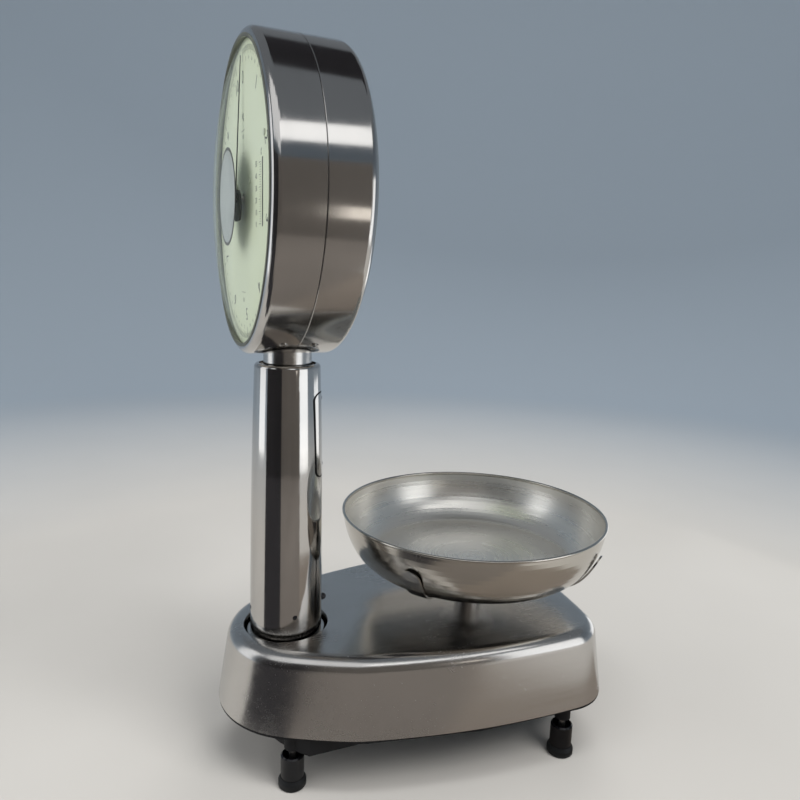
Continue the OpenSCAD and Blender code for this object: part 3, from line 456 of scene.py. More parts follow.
def stainless(
    name, kind, centre=(0, 0, 0), rough=0.2, lines=0.10, tint=(1, 1, 1), stains=0.12, inside=None, joint=None
):
    """Polished or brushed stainless sheet, with polish lines, stains and small scratches.
    Inside holds a point over a dish, its rim's height, and the extra roughness and a lighter colour within;
    the lighter colour, with a small diffuse share, is painted light for the brighter inside of the dish.
    Shaded gap holds a plate's node, its corner radius and the width of the painted shade line round it."""
    mat, s = new_material(name)
    if s is None:
        return mat
    base = settings().finish.steel
    light = (*(c * t for c, t in zip(base, tint)), 1)
    dull = (*(c * t * 0.84 for c, t in zip(base, tint)), 1)
    vector = along(s, kind, centre)
    line = s.group(polish_lines(), Vector=vector, Scale=1.0, Contrast=1.6)
    marks = s.group(handling_marks(), Vector=s.object_coords(), Scale=1.0)
    colour = s.mix(s.math("MULTIPLY", marks["Stains"], 0.45), light, dull)
    # Painted shade: a near-black line along the plate's edge, for the dark gap round it
    if joint:
        colour = s.mix(gap_shade_line(s, *joint), colour, GAP_SHADE_BLACK)
    # Painted light: the inner side gets a lighter colour and a little less metal, so the inside of the dish
    # looks brighter; its extra roughness is plain roughness
    if inside:
        focus, top, extra_rough, painted_light_tone = inside
        within = inner_side(s, focus, top)
        colour = s.mix(within, colour, (*painted_light_tone, 1))
        s.link(s.math("MULTIPLY_ADD", within, -0.08, 1.0), s.shader.inputs["Metallic"])
    else:
        s.shader.inputs["Metallic"].default_value = 1.0
    s.link(colour, s.shader.inputs["Base Color"])
    r = s.math("MULTIPLY_ADD", line["Lines"], lines, rough - lines / 2)
    r = s.math("MULTIPLY_ADD", line["Bands"], lines * 0.5, r)
    r = s.math("MULTIPLY_ADD", marks["Stains"], stains, r)
    r = s.math("MULTIPLY_ADD", marks["Scratches"], 0.05, r, clamp=True)
    if inside:
        r = s.math("MULTIPLY_ADD", within, extra_rough, r, clamp=True)
    s.link(r, s.shader.inputs["Roughness"])
    fine = s.bump(line["Lines"], 0.00001, 0.15)
    cut = s.bump(marks["Scratches"], 0.00001, 0.05, fine)
    s.link(cut, s.shader.inputs["Normal"])
    return mat


def grained(name, colour, rough, scale=900.0, depth=0.0001, metal=0.0, spread=0.25, gloss=0.5):
    """Casting, paint, plastic or rubber with an even grain and uneven tone."""
    mat, s = new_material(name)
    if s is None:
        return mat
    grain = s.group(fine_grain(), Vector=s.object_coords(), Scale=scale)
    pale = (*(min(1.0, c * (1 + spread) + 0.001) for c in colour), 1)
    deep = (*(c * (1 - spread) for c in colour), 1)
    s.link(s.mix(grain["Patches"], deep, pale), s.shader.inputs["Base Color"])
    s.link(s.math("MULTIPLY_ADD", grain["Grain"], 0.16, rough - 0.08), s.shader.inputs["Roughness"])
    s.shader.inputs["Metallic"].default_value = metal
    s.shader.inputs["Specular IOR Level"].default_value = gloss
    s.link(s.bump(grain["Grain"], depth, 0.4), s.shader.inputs["Normal"])
    return mat


def dial_enamel():
    mat, s = new_material("dial enamel")
    if s is None:
        return mat
    coords = s.object_coords()
    x, _, z = s.split(s.stretch(coords, (1, 1, 1), (0, 0, -HEAD_Z)))
    colour = settings().finish.dial
    aged = (*(c * k for c, k in zip(colour, (0.93, 0.92, 0.82))), 1)
    cloud = s.noise(coords, 6.0, detail=4.0)
    edge = s.ramp(s.length(x, z), 0.105, 0.146)
    age = s.math("MULTIPLY_ADD", edge, 0.5, s.math("MULTIPLY", s.ramp(cloud, 0.42, 0.7), 0.5), clamp=True)
    s.link(s.mix(age, (*colour, 1), aged), s.shader.inputs["Base Color"])
    fine = s.noise(coords, 700.0, detail=2.0)
    s.link(s.math("MULTIPLY_ADD", fine, 0.12, 0.36), s.shader.inputs["Roughness"])
    s.link(s.bump(fine, 0.00003, 0.2), s.shader.inputs["Normal"])
    return mat


def ink():
    mat, s = new_material("dial ink")
    if s is None:
        return mat
    colour = settings().finish.ink
    faded = (*(c + 0.05 for c in colour), 1)
    worn = s.noise(s.object_coords(), 240.0, detail=3.0)
    s.link(s.mix(s.ramp(worn, 0.5, 0.8), (*colour, 1), faded), s.shader.inputs["Base Color"])
    s.link(s.math("MULTIPLY_ADD", worn, 0.2, 0.4), s.shader.inputs["Roughness"])
    return mat


def clear_dome():
    mat, s = new_material("clear dome")
    if s is None:
        return mat
    s.shader.inputs["Base Color"].default_value = (0.86, 0.93, 0.80, 1)
    s.shader.inputs["Metallic"].default_value = 0.0
    s.shader.inputs["Transmission Weight"].default_value = 0.55
    s.shader.inputs["IOR"].default_value = 1.49
    facing = s.node("ShaderNodeLayerWeight")
    facing.inputs["Blend"].default_value = 0.5
    s.link(s.ramp(facing.outputs["Facing"], 0.8, 1.0, 0.02, 0.5), s.shader.inputs["Alpha"])
    haze = s.noise(s.object_coords(), 14.0, detail=4.0)
    s.link(s.ramp(haze, 0.45, 0.75, 0.02, 0.05), s.shader.inputs["Roughness"])
    return mat


def finish_table():
    """Each material with the CAD nodes that get it."""
    head = (0, HEAD_Y, HEAD_Z)
    column = (0, COLUMN_Y, 0)
    bowl = (0, BOWL_Y, 0)
    over_bowl = (0, BOWL_Y, BOWL_HIGH.z + 0.1)
    drum = stainless("drum sheet", "round_y", head, rough=0.10, lines=0.05, stains=0.05)
    tube = stainless("column sheet", "up_z", column, rough=0.07, lines=0.04, stains=0.04)
    # The hatch gets a painted shade line round its edge, for the gap between it and the column
    hatch = stainless(
        "hatch sheet", "up_z", column, rough=0.07, lines=0.04, stains=0.04,
        joint=("column_hatch", 0.008, 0.0011),
    )
    cover = stainless("cover sheet", "along_y", rough=0.18, lines=0.09, stains=0.1)
    # The bowl's inner side gets painted light: a lighter colour and a small diffuse share
    spun = stainless(
        "spun bowl", "rings", bowl, rough=0.16, lines=0.07, tint=(1.02, 1, 0.95), stains=0.05,
        inside=(over_bowl, BOWL_HIGH.z - 0.004, 0.10, (0.76, 0.74, 0.695)),
    )
    strap = stainless("carrier sheet", "along_x", rough=0.14, lines=0.06, stains=0.05)
    turned = stainless("turned steel", "rings", column, rough=0.16, lines=0.08)
    ground = stainless("ground steel", "up_z", column, rough=0.25, lines=0.1, tint=(0.95, 0.96, 0.98))
    plain = grained("plain steel", (0.3, 0.3, 0.31), 0.4, 1200.0, 0.00005, metal=1.0)
    brass = grained("aged brass", (0.58, 0.42, 0.18), 0.32, 900.0, 0.00005, metal=1.0)
    alloy = grained("cast alloy", (0.42, 0.42, 0.41), 0.5, 500.0, 0.00015, metal=0.9)
    casting = grained("black casting", settings().finish.casting, 0.5, 350.0, 0.0003, gloss=0.2)
    # Black of the column screws, also used as painted shade in the drum screws' countersinks and sockets
    black = grained("black screw and painted recess shade", (0.02, 0.02, 0.022), 0.35, 1500.0, 0.00005, metal=0.4)
    paint = grained("pointer black", (0.018, 0.018, 0.02), 0.45, 900.0, 0.00003)
    plastic = grained("foot plastic", (0.004, 0.004, 0.005), 0.2, 1000.0, 0.00003, gloss=0.3)
    rubber = grained("pad rubber", (0.008, 0.0085, 0.009), 0.5, 700.0, 0.0001, gloss=0.22)
    seal = grained("gasket rubber", (0.10, 0.105, 0.085), 0.5, 700.0, 0.0001)
    painted = grained("painted post", (0.50, 0.54, 0.42), 0.4, 900.0, 0.00003)
    enamel = dial_enamel()
    dome = clear_dome()
    return {
        drum: ["head_shell_front", "head_shell_rear"],
        tube: ["column_tube"],
        hatch: ["column_hatch"],
        cover: ["base_cover"],
        spun: ["bowl"],
        strap: ["bowl_carrier"],
        turned: ["neck_tube", "column_collar", "head_screws"],
        painted: ["dial_posts"],
        ground: [
            "arbor_bearings", "pendulum_shafts", "fulcrum_shafts", "arbor_front", "arbor_rear",
            "draft_rod", "draft_tapes", "dashpot_piston", "platform_post", "post_pins", "foot_studs",
        ],
        plain: [
            "collar_bolts", "hatch_straps", "hatch_screws", "movement_plate_front", "movement_plate_rear",
            "fulcrum_bracket", "yoke", "pendulum_left", "pendulum_right",
        ],
        brass: [
            "movement_bridge", "movement_pillars", "dashpot_cylinder", "racks", "bob_left", "bob_right",
        ],
        alloy: ["head_frame", "dashpot_shelf"],
        casting: ["base_frame", "main_lever", "check_link"],
        black: ["column_screws"],
        paint: ["pointer_front", "pointer_rear"],
        enamel: ["dial_front", "dial_rear"],
        dome: ["lens_front", "lens_rear"],
        seal: ["gasket_front", "gasket_rear"],
        plastic: [f"foot_knob_{i}" for i in range(1, 5)],
        rubber: [f"foot_pad_{i}" for i in range(1, 5)],
    }


# Pieces


def mark(x, y, width, height, depth):
    """A small printed bar, centred at x and y."""
    bpy.ops.mesh.primitive_cube_add(size=1, location=(x, y, depth / 2))
    bar = bpy.context.active_object
    bar.scale = (width, height, depth)
    return settle(bar)


def mark_ring(radius, length, width, steps, sweep, depth):
    """Equal graduations over the sweep, clockwise from 12 o'clock."""
    bar = mark(0, radius - length / 2, width, length, depth)
    only(bar)
    bpy.ops.object.mode_set(mode="EDIT")
    bpy.ops.mesh.select_all(action="SELECT")
    # With no window, a positive angle spins clockwise
    bpy.ops.mesh.spin(steps=steps, dupli=True, angle=sweep, center=(0, 0, 0), axis=(0, 0, 1))
    bpy.ops.object.mode_set(mode="OBJECT")
    return bar


# Font size for a figure of height 1
FONT_PER_HEIGHT = 1.38


def printed(text, x, y, size, turn, depth):
    """A printed number or unit as a thin mesh, its characters as high as size says."""
    nothing_selected()
    bpy.ops.object.text_add(location=(0, 0, 0))
    obj = bpy.context.active_object
    obj.data.body = text
    obj.data.size = size * FONT_PER_HEIGHT
    obj.data.align_x = "CENTER"
    obj.data.align_y = "CENTER"
    obj.data.resolution_u = 3
    obj.data.extrude = depth / 2
    only(obj)
    bpy.ops.object.convert(target="MESH")
    obj = bpy.context.active_object
    obj.data.transform(Matrix.Translation((x, y, depth / 2)) @ Matrix.Rotation(turn, 4, "Z"))
    return obj


# Length and width of the graduations, and of the dashes that run round outside them
FINE_MARK = (0.0042, 0.00022)
MIDDLE_MARK = (0.0066, 0.0004)
MAIN_MARK = (0.0105, 0.0009)
RIM_DASH = (0.0005, 0.0016)
RIM_DASHES = 240

# Small numbers stand this much further out than the large ones
SMALL_NUMBERS_OUT = 0.0133
SMALL_NUMBER_SIZE = 0.0036

# Side scale: middle of its thick line, its highest mark above that, number of steps and their spacing
SIDE_X, SIDE_Y = 0.0912, -0.002
SIDE_TOP = 0.0262
SIDE_STEPS = 5
SIDE_PITCH = 0.0106

# Depth of the badge's back behind the lens's outermost point, its thickness and its rim's width
BADGE_BACK = 0.0039
BADGE_THICK = 0.0004
BADGE_RIM = 0.0030


class DIALSCALE_OT_dial_print(bpy.types.Operator):
    """Prints the graduations, the numbers and the side scale on both dials"""

    bl_idname = "dialscale.dial_print"
    bl_label = "Dial Print"

    def execute(self, context):
        p = settings().print_
        depth = p.ink_height
        middles = p.fine_steps // 5
        parts = [
            mark_ring(p.track_r, *FINE_MARK, p.capacity * p.fine_steps, p.sweep, depth),
            mark_ring(p.track_r, *MIDDLE_MARK, p.capacity * middles, p.sweep, depth),
            mark_ring(p.track_r, *MAIN_MARK, p.capacity, p.sweep, depth),
            mark_ring(p.track_r + 0.0006, *RIM_DASH, RIM_DASHES, math.radians(360), depth),
        ]
        # Every second tenth gets a small number, every whole a large one
        for i in range(0, p.capacity * 10 + 1, 2):
            turn = -p.sweep * i / (p.capacity * 10)
            whole = i % 10 == 0
            radius = p.number_r if whole else p.number_r + SMALL_NUMBERS_OUT
            size = p.number_size if whole else SMALL_NUMBER_SIZE
            text = str(i // 10) if whole else str(i % 10)
            if i == 0:
                radius -= 0.001
            parts.append(
                printed(text, -radius * math.sin(turn), radius * math.cos(turn), size, turn, depth)
            )
        # Small marks above and below the middle
        parts.append(printed("kg", 0, 0.078, 0.0075, 0, depth))
        parts.append(mark(0, 0.064, 0.016, 0.0004, depth))
        parts.append(printed("10", 0, 0.058, 0.0045, 0, depth))
        parts.append(mark(0, -0.092, 0.02, 0.0004, depth))
        parts.append(printed("10", 0, -0.1, 0.0045, 0, depth))
        # Side scale at the viewer's right
        parts.append(mark(SIDE_X, SIDE_Y, 0.0042, 0.059, depth))
        for k in range(SIDE_STEPS * 5 + 1):
            length = 0.0075 if k % 5 == 0 else 0.004
            y = SIDE_Y + SIDE_TOP - k * SIDE_PITCH / 5
            parts.append(mark(SIDE_X - 0.0075 - length / 2, y, length, 0.0005, depth))
        for k in range(SIDE_STEPS + 1):
            y = SIDE_Y + SIDE_TOP - k * SIDE_PITCH
            parts.append(printed(str(10 * (SIDE_STEPS - k)), SIDE_X - 0.0275, y, 0.0052, 0, depth))
        parts.append(printed("g", SIDE_X - 0.0055, SIDE_Y + 0.036, 0.0062, 0, depth))
        drawing = join(parts, "dial_print_front")
        give(drawing, ink())
        out = Matrix.Translation((0, 0, DIAL_OUT))
        rear = copy_piece(drawing, "dial_print_rear", FACE_REAR @ out)
        drawing.data.transform(FACE_FRONT @ out)
        for piece in (drawing, rear):
            place(piece, "stand")
        return {"FINISHED"}


class DIALSCALE_OT_badges(bpy.types.Operator):
    """Fits a bare round plate with a dark rim behind the middle of each lens"""

    bl_idname = "dialscale.badges"
    bl_label = "Bare Badges"

    def execute(self, context):
        p = settings().print_
        nothing_selected()
        bpy.ops.mesh.primitive_circle_add(
            vertices=96, radius=p.badge_r, fill_type="NGON", location=(0, 0, LENS_OUT - BADGE_BACK)
        )
        plate = settle(bpy.context.active_object)
        only(plate)
        bpy.ops.object.mode_set(mode="EDIT")
        bpy.ops.mesh.select_all(action="SELECT")
        bpy.ops.mesh.extrude_region_move(TRANSFORM_OT_translate={"value": (0, 0, BADGE_THICK)})
        bpy.ops.mesh.inset(thickness=BADGE_RIM, depth=0)
        bpy.ops.mesh.inset(thickness=0.0003, depth=-0.00012)
        bpy.ops.mesh.select_all(action="SELECT")
        bpy.ops.mesh.normals_make_consistent(inside=False)
        bpy.ops.object.mode_set(mode="OBJECT")
        plate.name = "badge_front"
        plate.data.name = "badge_front"
        give(plate, badge_plate())
        rear = copy_piece(plate, "badge_rear", FACE_REAR)
        plate.data.transform(FACE_FRONT)
        for piece in (plate, rear):
            place(piece, "stand")
        return {"FINISHED"}


def badge_plate():
    """Plain grey plate; the raised rim is dark, told by its distance from the middle."""
    mat, s = new_material("badge plate")
    if s is None:
        return mat
    coords = s.object_coords()
    x, _, z = s.split(s.stretch(coords, (1, 1, 1), (0, 0, -HEAD_Z)))
    rim_r = settings().print_.badge_r - BADGE_RIM
    rim = s.ramp(s.length(x, z), rim_r - 0.0002, rim_r + 0.0002)
    cloud = s.noise(coords, 30.0, detail=3.0)
    face = s.mix(s.ramp(cloud, 0.4, 0.7), (0.42, 0.45, 0.43, 1), (0.36, 0.39, 0.375, 1))
    s.link(s.mix(rim, face, (0.02, 0.014, 0.012, 1)), s.shader.inputs["Base Color"])
    s.link(s.math("MULTIPLY_ADD", cloud, 0.15, 0.3), s.shader.inputs["Roughness"])
    return mat


# Rounds of the cover's outline: x, distance behind the column, radius, in metres
COVER_ROUNDS = [
    (0.0, 0.023, 0.098), (0.0425, 0.074, 0.082), (0.0595, 0.189, 0.087),
    (0.0915, 0.301, 0.060), (0.0, 0.283, 0.088),
]
# How far the edges of the cover's holes turn down
HOLE_EDGE = 0.006


def cover_outline(count):
    """Points and outward normals of the smooth outline at the cover's bottom edge."""
    rounds = [(s * x, COLUMN_Y + y, r) for x, y, r in COVER_ROUNDS for s in (-1, 1)]

    def reach(turn):
        return max(x * math.cos(turn) + y * math.sin(turn) + r for x, y, r in rounds)

    # The outline's reach in every direction, softened over the directions near by
    samples = 1440
    step = 2 * math.pi / samples
    raw = [reach(step * i) for i in range(samples)]
    half = 26
    near = range(-half, half + 1)
    weights = [math.cos(math.pi / 2 * k / (half + 1)) ** 2 for k in near]
    total = sum(weights)
    soft = [
        sum(w * raw[(i + k) % samples] for w, k in zip(weights, near)) / total
        for i in range(samples)
    ]
    path = []
    for i in range(samples):
        t = i * step
        slope = (soft[(i + 1) % samples] - soft[i - 1]) / (2 * step)
        n = Vector((math.cos(t), math.sin(t)))
        path.append((n * soft[i] + Vector((-n.y, n.x)) * slope, n))
    # Even spacing along the outline
    lengths = [0.0]
    for i in range(samples):
        lengths.append(lengths[-1] + (path[(i + 1) % samples][0] - path[i][0]).length)
    out = []
    j = 0
    for k in range(count):
        goal = lengths[-1] * k / count
        while lengths[j + 1] < goal:
            j += 1
        f = (goal - lengths[j]) / max(1e-9, lengths[j + 1] - lengths[j])
        a, b = path[j % samples], path[(j + 1) % samples]
        out.append((a[0].lerp(b[0], f), a[1].lerp(b[1], f).normalized()))
    return out


class DIALSCALE_OT_cover(bpy.types.Operator):
    """Raises the sheet cover from its outline: leaning sides, rolled shoulder, flat top with two holes"""

    bl_idname = "dialscale.cover"
    bl_label = "Base Cover"

    def execute(self, context):
        c = settings().cover
        outline = cover_outline(c.points)
        z0, z1 = COVER_LOW.z, COVER_HIGH.z
        rise = z1 - z0 - c.shoulder
        side = rise * math.tan(c.slope)
        # Each level is an inset from the outline and a height
        levels = [(0.0, z0), (0.0004, z0 + 0.003), (side * 0.5, z0 + rise * 0.5), (side, z0 + rise)]
        for k in range(1, 9):
            a = math.radians(90 * k / 8)
            levels.append((side + c.shoulder * (1 - math.cos(a)), z0 + rise + c.shoulder * math.sin(a)))
        nothing_selected()
        bpy.ops.mesh.primitive_circle_add(
            vertices=c.points, radius=0.1, fill_type="NOTHING", location=(0, 0, 0)
        )
        skin = bpy.context.active_object
        only(skin)
        bpy.ops.object.mode_set(mode="EDIT")
        bm = bmesh.from_edit_mesh(skin.data)
        bm.verts.ensure_lookup_table()
        ring = list(bm.verts)
        for v, (p, n) in zip(ring, outline):
            v.co = (p.x, p.y, levels[0][1])
        for inset, z in levels[1:]:
            bpy.ops.mesh.select_all(action="DESELECT")
            made = [bm.verts.new((p.x - n.x * inset, p.y - n.y * inset, z)) for p, n in outline]
            for i in range(len(ring)):
                j = (i + 1) % len(ring)
                bm.faces.new((ring[i], ring[j], made[j], made[i]))
            ring = made
        rim = [bm.edges.get((ring[i], ring[i - 1])) for i in range(len(ring))]
        # Holes for the column and the post, each with a turned-down edge
        for y, radius, count, roll in ((COLUMN_Y, 0.047, 96, 0.0012), (BOWL_Y, 0.023, 64, 0.003)):
            turns = [2 * math.pi * i / count for i in range(count)]
            previous = None
            for k in range(6):
                a = math.radians(90 * k / 5)
                r = radius + roll * (1 - math.sin(a))
                z = z1 - roll * (1 - math.cos(a))
                loop = [bm.verts.new((r * math.cos(t), y + r * math.sin(t), z)) for t in turns]
                self.band(bm, previous, loop, rim)
                previous = loop
            low = [bm.verts.new((v.co.x, v.co.y, z1 - HOLE_EDGE)) for v in previous]
            self.band(bm, previous, low, rim)
        bmesh.ops.triangle_fill(bm, use_beauty=True, edges=rim, normal=(0, 0, 1))
        bmesh.ops.recalc_face_normals(bm, faces=bm.faces)
        bmesh.update_edit_mesh(skin.data)
        bpy.ops.object.mode_set(mode="OBJECT")
        top = max(skin.data.polygons, key=lambda f: f.center.z)
        if top.normal.z < 0:
            skin.data.flip_normals()
        wall = skin.modifiers.new("sheet", "SOLIDIFY")
        wall.thickness = c.sheet
        wall.offset = -1
        wall.use_even_offset = True
        only(skin)
        bpy.ops.object.modifier_apply(modifier=wall.name)
        skin.name = "cover_sheet"
        skin.data.name = "cover_sheet"
        smooth(skin, 40)
        give(skin, bpy.data.materials["cover sheet"])
        place(skin, "stand")
        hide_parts("base_cover")
        return {"FINISHED"}

    @staticmethod
    def band(bm, upper, lower, rim):
        """Joins two loops, or starts a hole's rim with the first of them."""
        count = len(lower)
        if upper is None:
            for i in range(count):
                rim.append(bm.edges.new((lower[i], lower[(i + 1) % count])))
            return
        for i in range(count):
            j = (i + 1) % count
            bm.faces.new((upper[j], upper[i], lower[i], lower[j]))


# Drum screws: radius and depth of the countersink, painted black as shade, height of the head, the socket's
# reach and depth
SINK_R = 0.0043
SINK_DEPTH = 0.0006
SCREW_HEIGHT = 0.0014
SOCKET_R = 0.0014
SOCKET_DEPTH = 0.0013


def screw_places(node):
    """Middle of each screw of a group: its turn about the drum's axis and its place along Y."""
    corners = {}
    for v in CAD[node].data.vertices:
        corners.setdefault((v.co.x > 0, v.co.y > HEAD_Y), []).append(v.co)
    places = []
    for points in corners.values():
        middle = sum(points, Vector()) / len(points)
        places.append((math.atan2(middle.x, HEAD_Z - middle.z), middle.y))
    return sorted(places)


class DIALSCALE_OT_head_screws(bpy.types.Operator):
    """Fits the drum's raised screws, each with a socket, in its countersink; countersink and socket are
    painted black as shade
    """

    bl_idname = "dialscale.head_screws"
    bl_label = "Head Screws"

    def execute(self, context):
        low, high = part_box("head_shell_front")
        drum_r = (high.x - low.x) / 2
        nothing_selected()
        bpy.ops.mesh.primitive_circle_add(
            vertices=48, radius=SINK_R, fill_type="NGON", location=(0, 0, -SINK_DEPTH)
        )
        screw = settle(bpy.context.active_object)
        only(screw)
        bpy.ops.object.mode_set(mode="EDIT")
        bpy.ops.mesh.select_all(action="SELECT")
        bpy.ops.mesh.extrude_region_move(TRANSFORM_OT_translate={"value": (0, 0, 0.0002)})
        bpy.ops.mesh.inset(thickness=0.0006, depth=0)
        bpy.ops.mesh.extrude_region_move(TRANSFORM_OT_translate={"value": (0, 0, SCREW_HEIGHT)})
        # The head's crown rises less with each step, and the socket goes down in its middle
        for k in range(1, 6):
            bpy.ops.mesh.inset(thickness=0.00044, depth=0.00021 - 0.00004 * k)
        bpy.ops.mesh.inset(thickness=0.0001, depth=-0.00005)
        bpy.ops.mesh.extrude_region_move(TRANSFORM_OT_translate={"value": (0, 0, -SOCKET_DEPTH)})
        bpy.ops.mesh.select_all(action="SELECT")
        bpy.ops.mesh.normals_make_consistent(inside=False)
        bpy.ops.object.mode_set(mode="OBJECT")
        screw.data.materials.append(bpy.data.materials["turned steel"])
        screw.data.materials.append(bpy.data.materials["black screw and painted recess shade"])
        # Painted shade: the faces in the countersink and the socket take the black colour
        for face in screw.data.polygons:
            x, y, z = face.center
            shaded_recess = z < -0.0003 or (math.hypot(x, y) < SOCKET_R and z < 0.0012)
            face.material_index = 1 if shaded_recess else 0
        parts = []
        for i, (turn, y) in enumerate(screw_places("head_screws")):
            at = Matrix.Translation((0, y, HEAD_Z)) @ Matrix.Rotation(-turn, 4, "Y")
            out = Matrix.Translation((0, 0, -drum_r)) @ Matrix.Rotation(math.pi, 4, "X")
            parts.append(copy_piece(screw, f"drum_screw_{i}", at @ out))
        bpy.data.objects.remove(screw)
        group = smooth(join(parts, "drum_screws"), 35)
        place(group, "stand")
        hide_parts("head_screws")
        return {"FINISHED"}


class DIALSCALE_OT_finishes(bpy.types.Operator):
    """Gives every CAD piece its finish"""

    bl_idname = "dialscale.finishes"
    bl_label = "Finishes"

    def execute(self, context):
        left = set(CAD)
        for material, names in finish_table().items():
            for name in names:
                give(CAD[name], material)
                left.discard(name)
        if left:
            raise RuntimeError(f"no finish for {sorted(left)}")
        return {"FINISHED"}


# Stage


def stage_surface():
    """Pale floor that cools towards the wall as it gets further away."""
    mat, s = new_material("studio sweep")
    if s is None:
        return mat
    coords = s.object_coords()
    x, y, _ = s.split(coords)
    away = s.ramp(s.length(x, y), 0.9, 2.4)
    stage = settings().stage
    cloud = s.noise(coords, 3.0, detail=2.0)
    floor = s.mix(s.ramp(cloud, 0.3, 0.7), (*stage.floor, 1), (*(c * 0.96 for c in stage.floor), 1))
    s.link(s.mix(away, floor, (*stage.wall, 1)), s.shader.inputs["Base Color"])
    s.shader.inputs["Roughness"].default_value = 0.75
    s.shader.inputs["Specular IOR Level"].default_value = 0.2
    return mat


def soft_lamp(name, at, target, size, power, tint=(1, 1, 1)):
    light = bpy.data.lights.new(name, "AREA")
    light.shape = "RECTANGLE"
    light.size, light.size_y = size
    light.energy = power
    light.color = tint
    lamp = bpy.data.objects.new(name, light)
    bpy.context.scene.collection.objects.link(lamp)
    lamp.location = at
    lamp.rotation_euler = (Vector(target) - Vector(at)).to_track_quat("-Z", "Y").to_euler()
    return lamp


def screen_cloth(name, colour):
    """Dull material of a screen, a little uneven in tone."""
    mat, s = new_material(name)
    if s is None:
        return mat
    cloud = s.noise(s.object_coords(), 2.0, detail=2.0)
    deep, pale = ((*(c * k for c in colour), 1) for k in (0.8, 1.2))
    s.link(s.mix(cloud, deep, pale), s.shader.inputs["Base Color"])
    s.shader.inputs["Roughness"].default_value = 0.9
    s.shader.inputs["Specular IOR Level"].default_value = 0.0
    return mat


def reflected_screen(name, start, end, profile, colour):
    """A curved screen round the column from start to end, in degrees of turn.
    The profile has four points, each a distance and a height. Only the polished surfaces see the screen."""
    nothing_selected()
    bpy.ops.mesh.primitive_plane_add(size=1, location=(0, 0, 0))
    screen = bpy.context.active_object
    only(screen)
    bpy.ops.object.mode_set(mode="EDIT")
    bpy.ops.mesh.delete(type="ONLY_FACE")
    bm = bmesh.from_edit_mesh(screen.data)
    bm.edges.ensure_lookup_table()
    bmesh.ops.delete(bm, geom=[bm.edges[0]], context="EDGES")
    # The three edges left are a chain, which takes the profile's four points from one end to the other
    v = next(v for v in bm.verts if len(v.link_edges) == 1)
    angle = math.radians(start)
    previous = None
    for r, z in profile:
        v.co = (r * math.cos(angle), COLUMN_Y + r * math.sin(angle), z)
        following = [e.other_vert(v) for e in v.link_edges if e.other_vert(v) is not previous]
        previous, v = v, following[0] if following else None
    bmesh.update_edit_mesh(screen.data)
    bpy.ops.mesh.select_all(action="SELECT")
    bpy.ops.mesh.spin(steps=12, angle=math.radians(start - end), center=(0, COLUMN_Y, 0), axis=(0, 0, 1))
    bpy.ops.object.mode_set(mode="OBJECT")
    screen.name = name
    screen.data.name = name
    give(screen, screen_cloth(name.replace("_", " "), colour))
    for ray in ("camera", "diffuse", "shadow", "transmission"):
        setattr(screen, "visible_" + ray, False)


# Colour of the small warm light that the drum reflects
WARM = (1.0, 0.93, 0.84)


def reflected_panel(name, at, target, size, glow, tint=(1, 1, 1)):
    """A soft panel that only shows in the polished surfaces, at the given brightness."""
    panel = soft_lamp(name, at, target, size, glow * math.pi * size[0] * size[1], tint)
    panel.visible_diffuse = False


# The photograph's camera, in the row frame
CAMERA_AT = Vector((0.7099, -0.3369, 0.5406))
CAMERA_YAW = 0.408
CAMERA_PITCH = 0.178
CAMERA_ROLL = 0.036
CAMERA_LENS = 30.72


def photo_camera():
    data = bpy.data.cameras.new("photo_camera")
    cam = bpy.data.objects.new("photo_camera", data)
    bpy.context.scene.collection.objects.link(cam)
    data.sensor_width = 36.0
    data.lens = CAMERA_LENS
    data.clip_start, data.clip_end = 0.02, 50.0
    ahead = Vector(
        (
            -math.cos(CAMERA_YAW) * math.cos(CAMERA_PITCH),
            math.sin(CAMERA_YAW) * math.cos(CAMERA_PITCH),
            -math.sin(CAMERA_PITCH),
        )
    )
    right = ahead.cross(Vector((0, 0, 1))).normalized()
    up = right.cross(ahead)
    c, s = math.cos(CAMERA_ROLL), math.sin(CAMERA_ROLL)
    r2 = right * c + up * s
    u2 = up * c - right * s
    m = Matrix((r2, u2, -ahead)).transposed().to_4x4()
    m.translation = CAMERA_AT
    cam.matrix_world = m
    bpy.context.scene.camera = cam


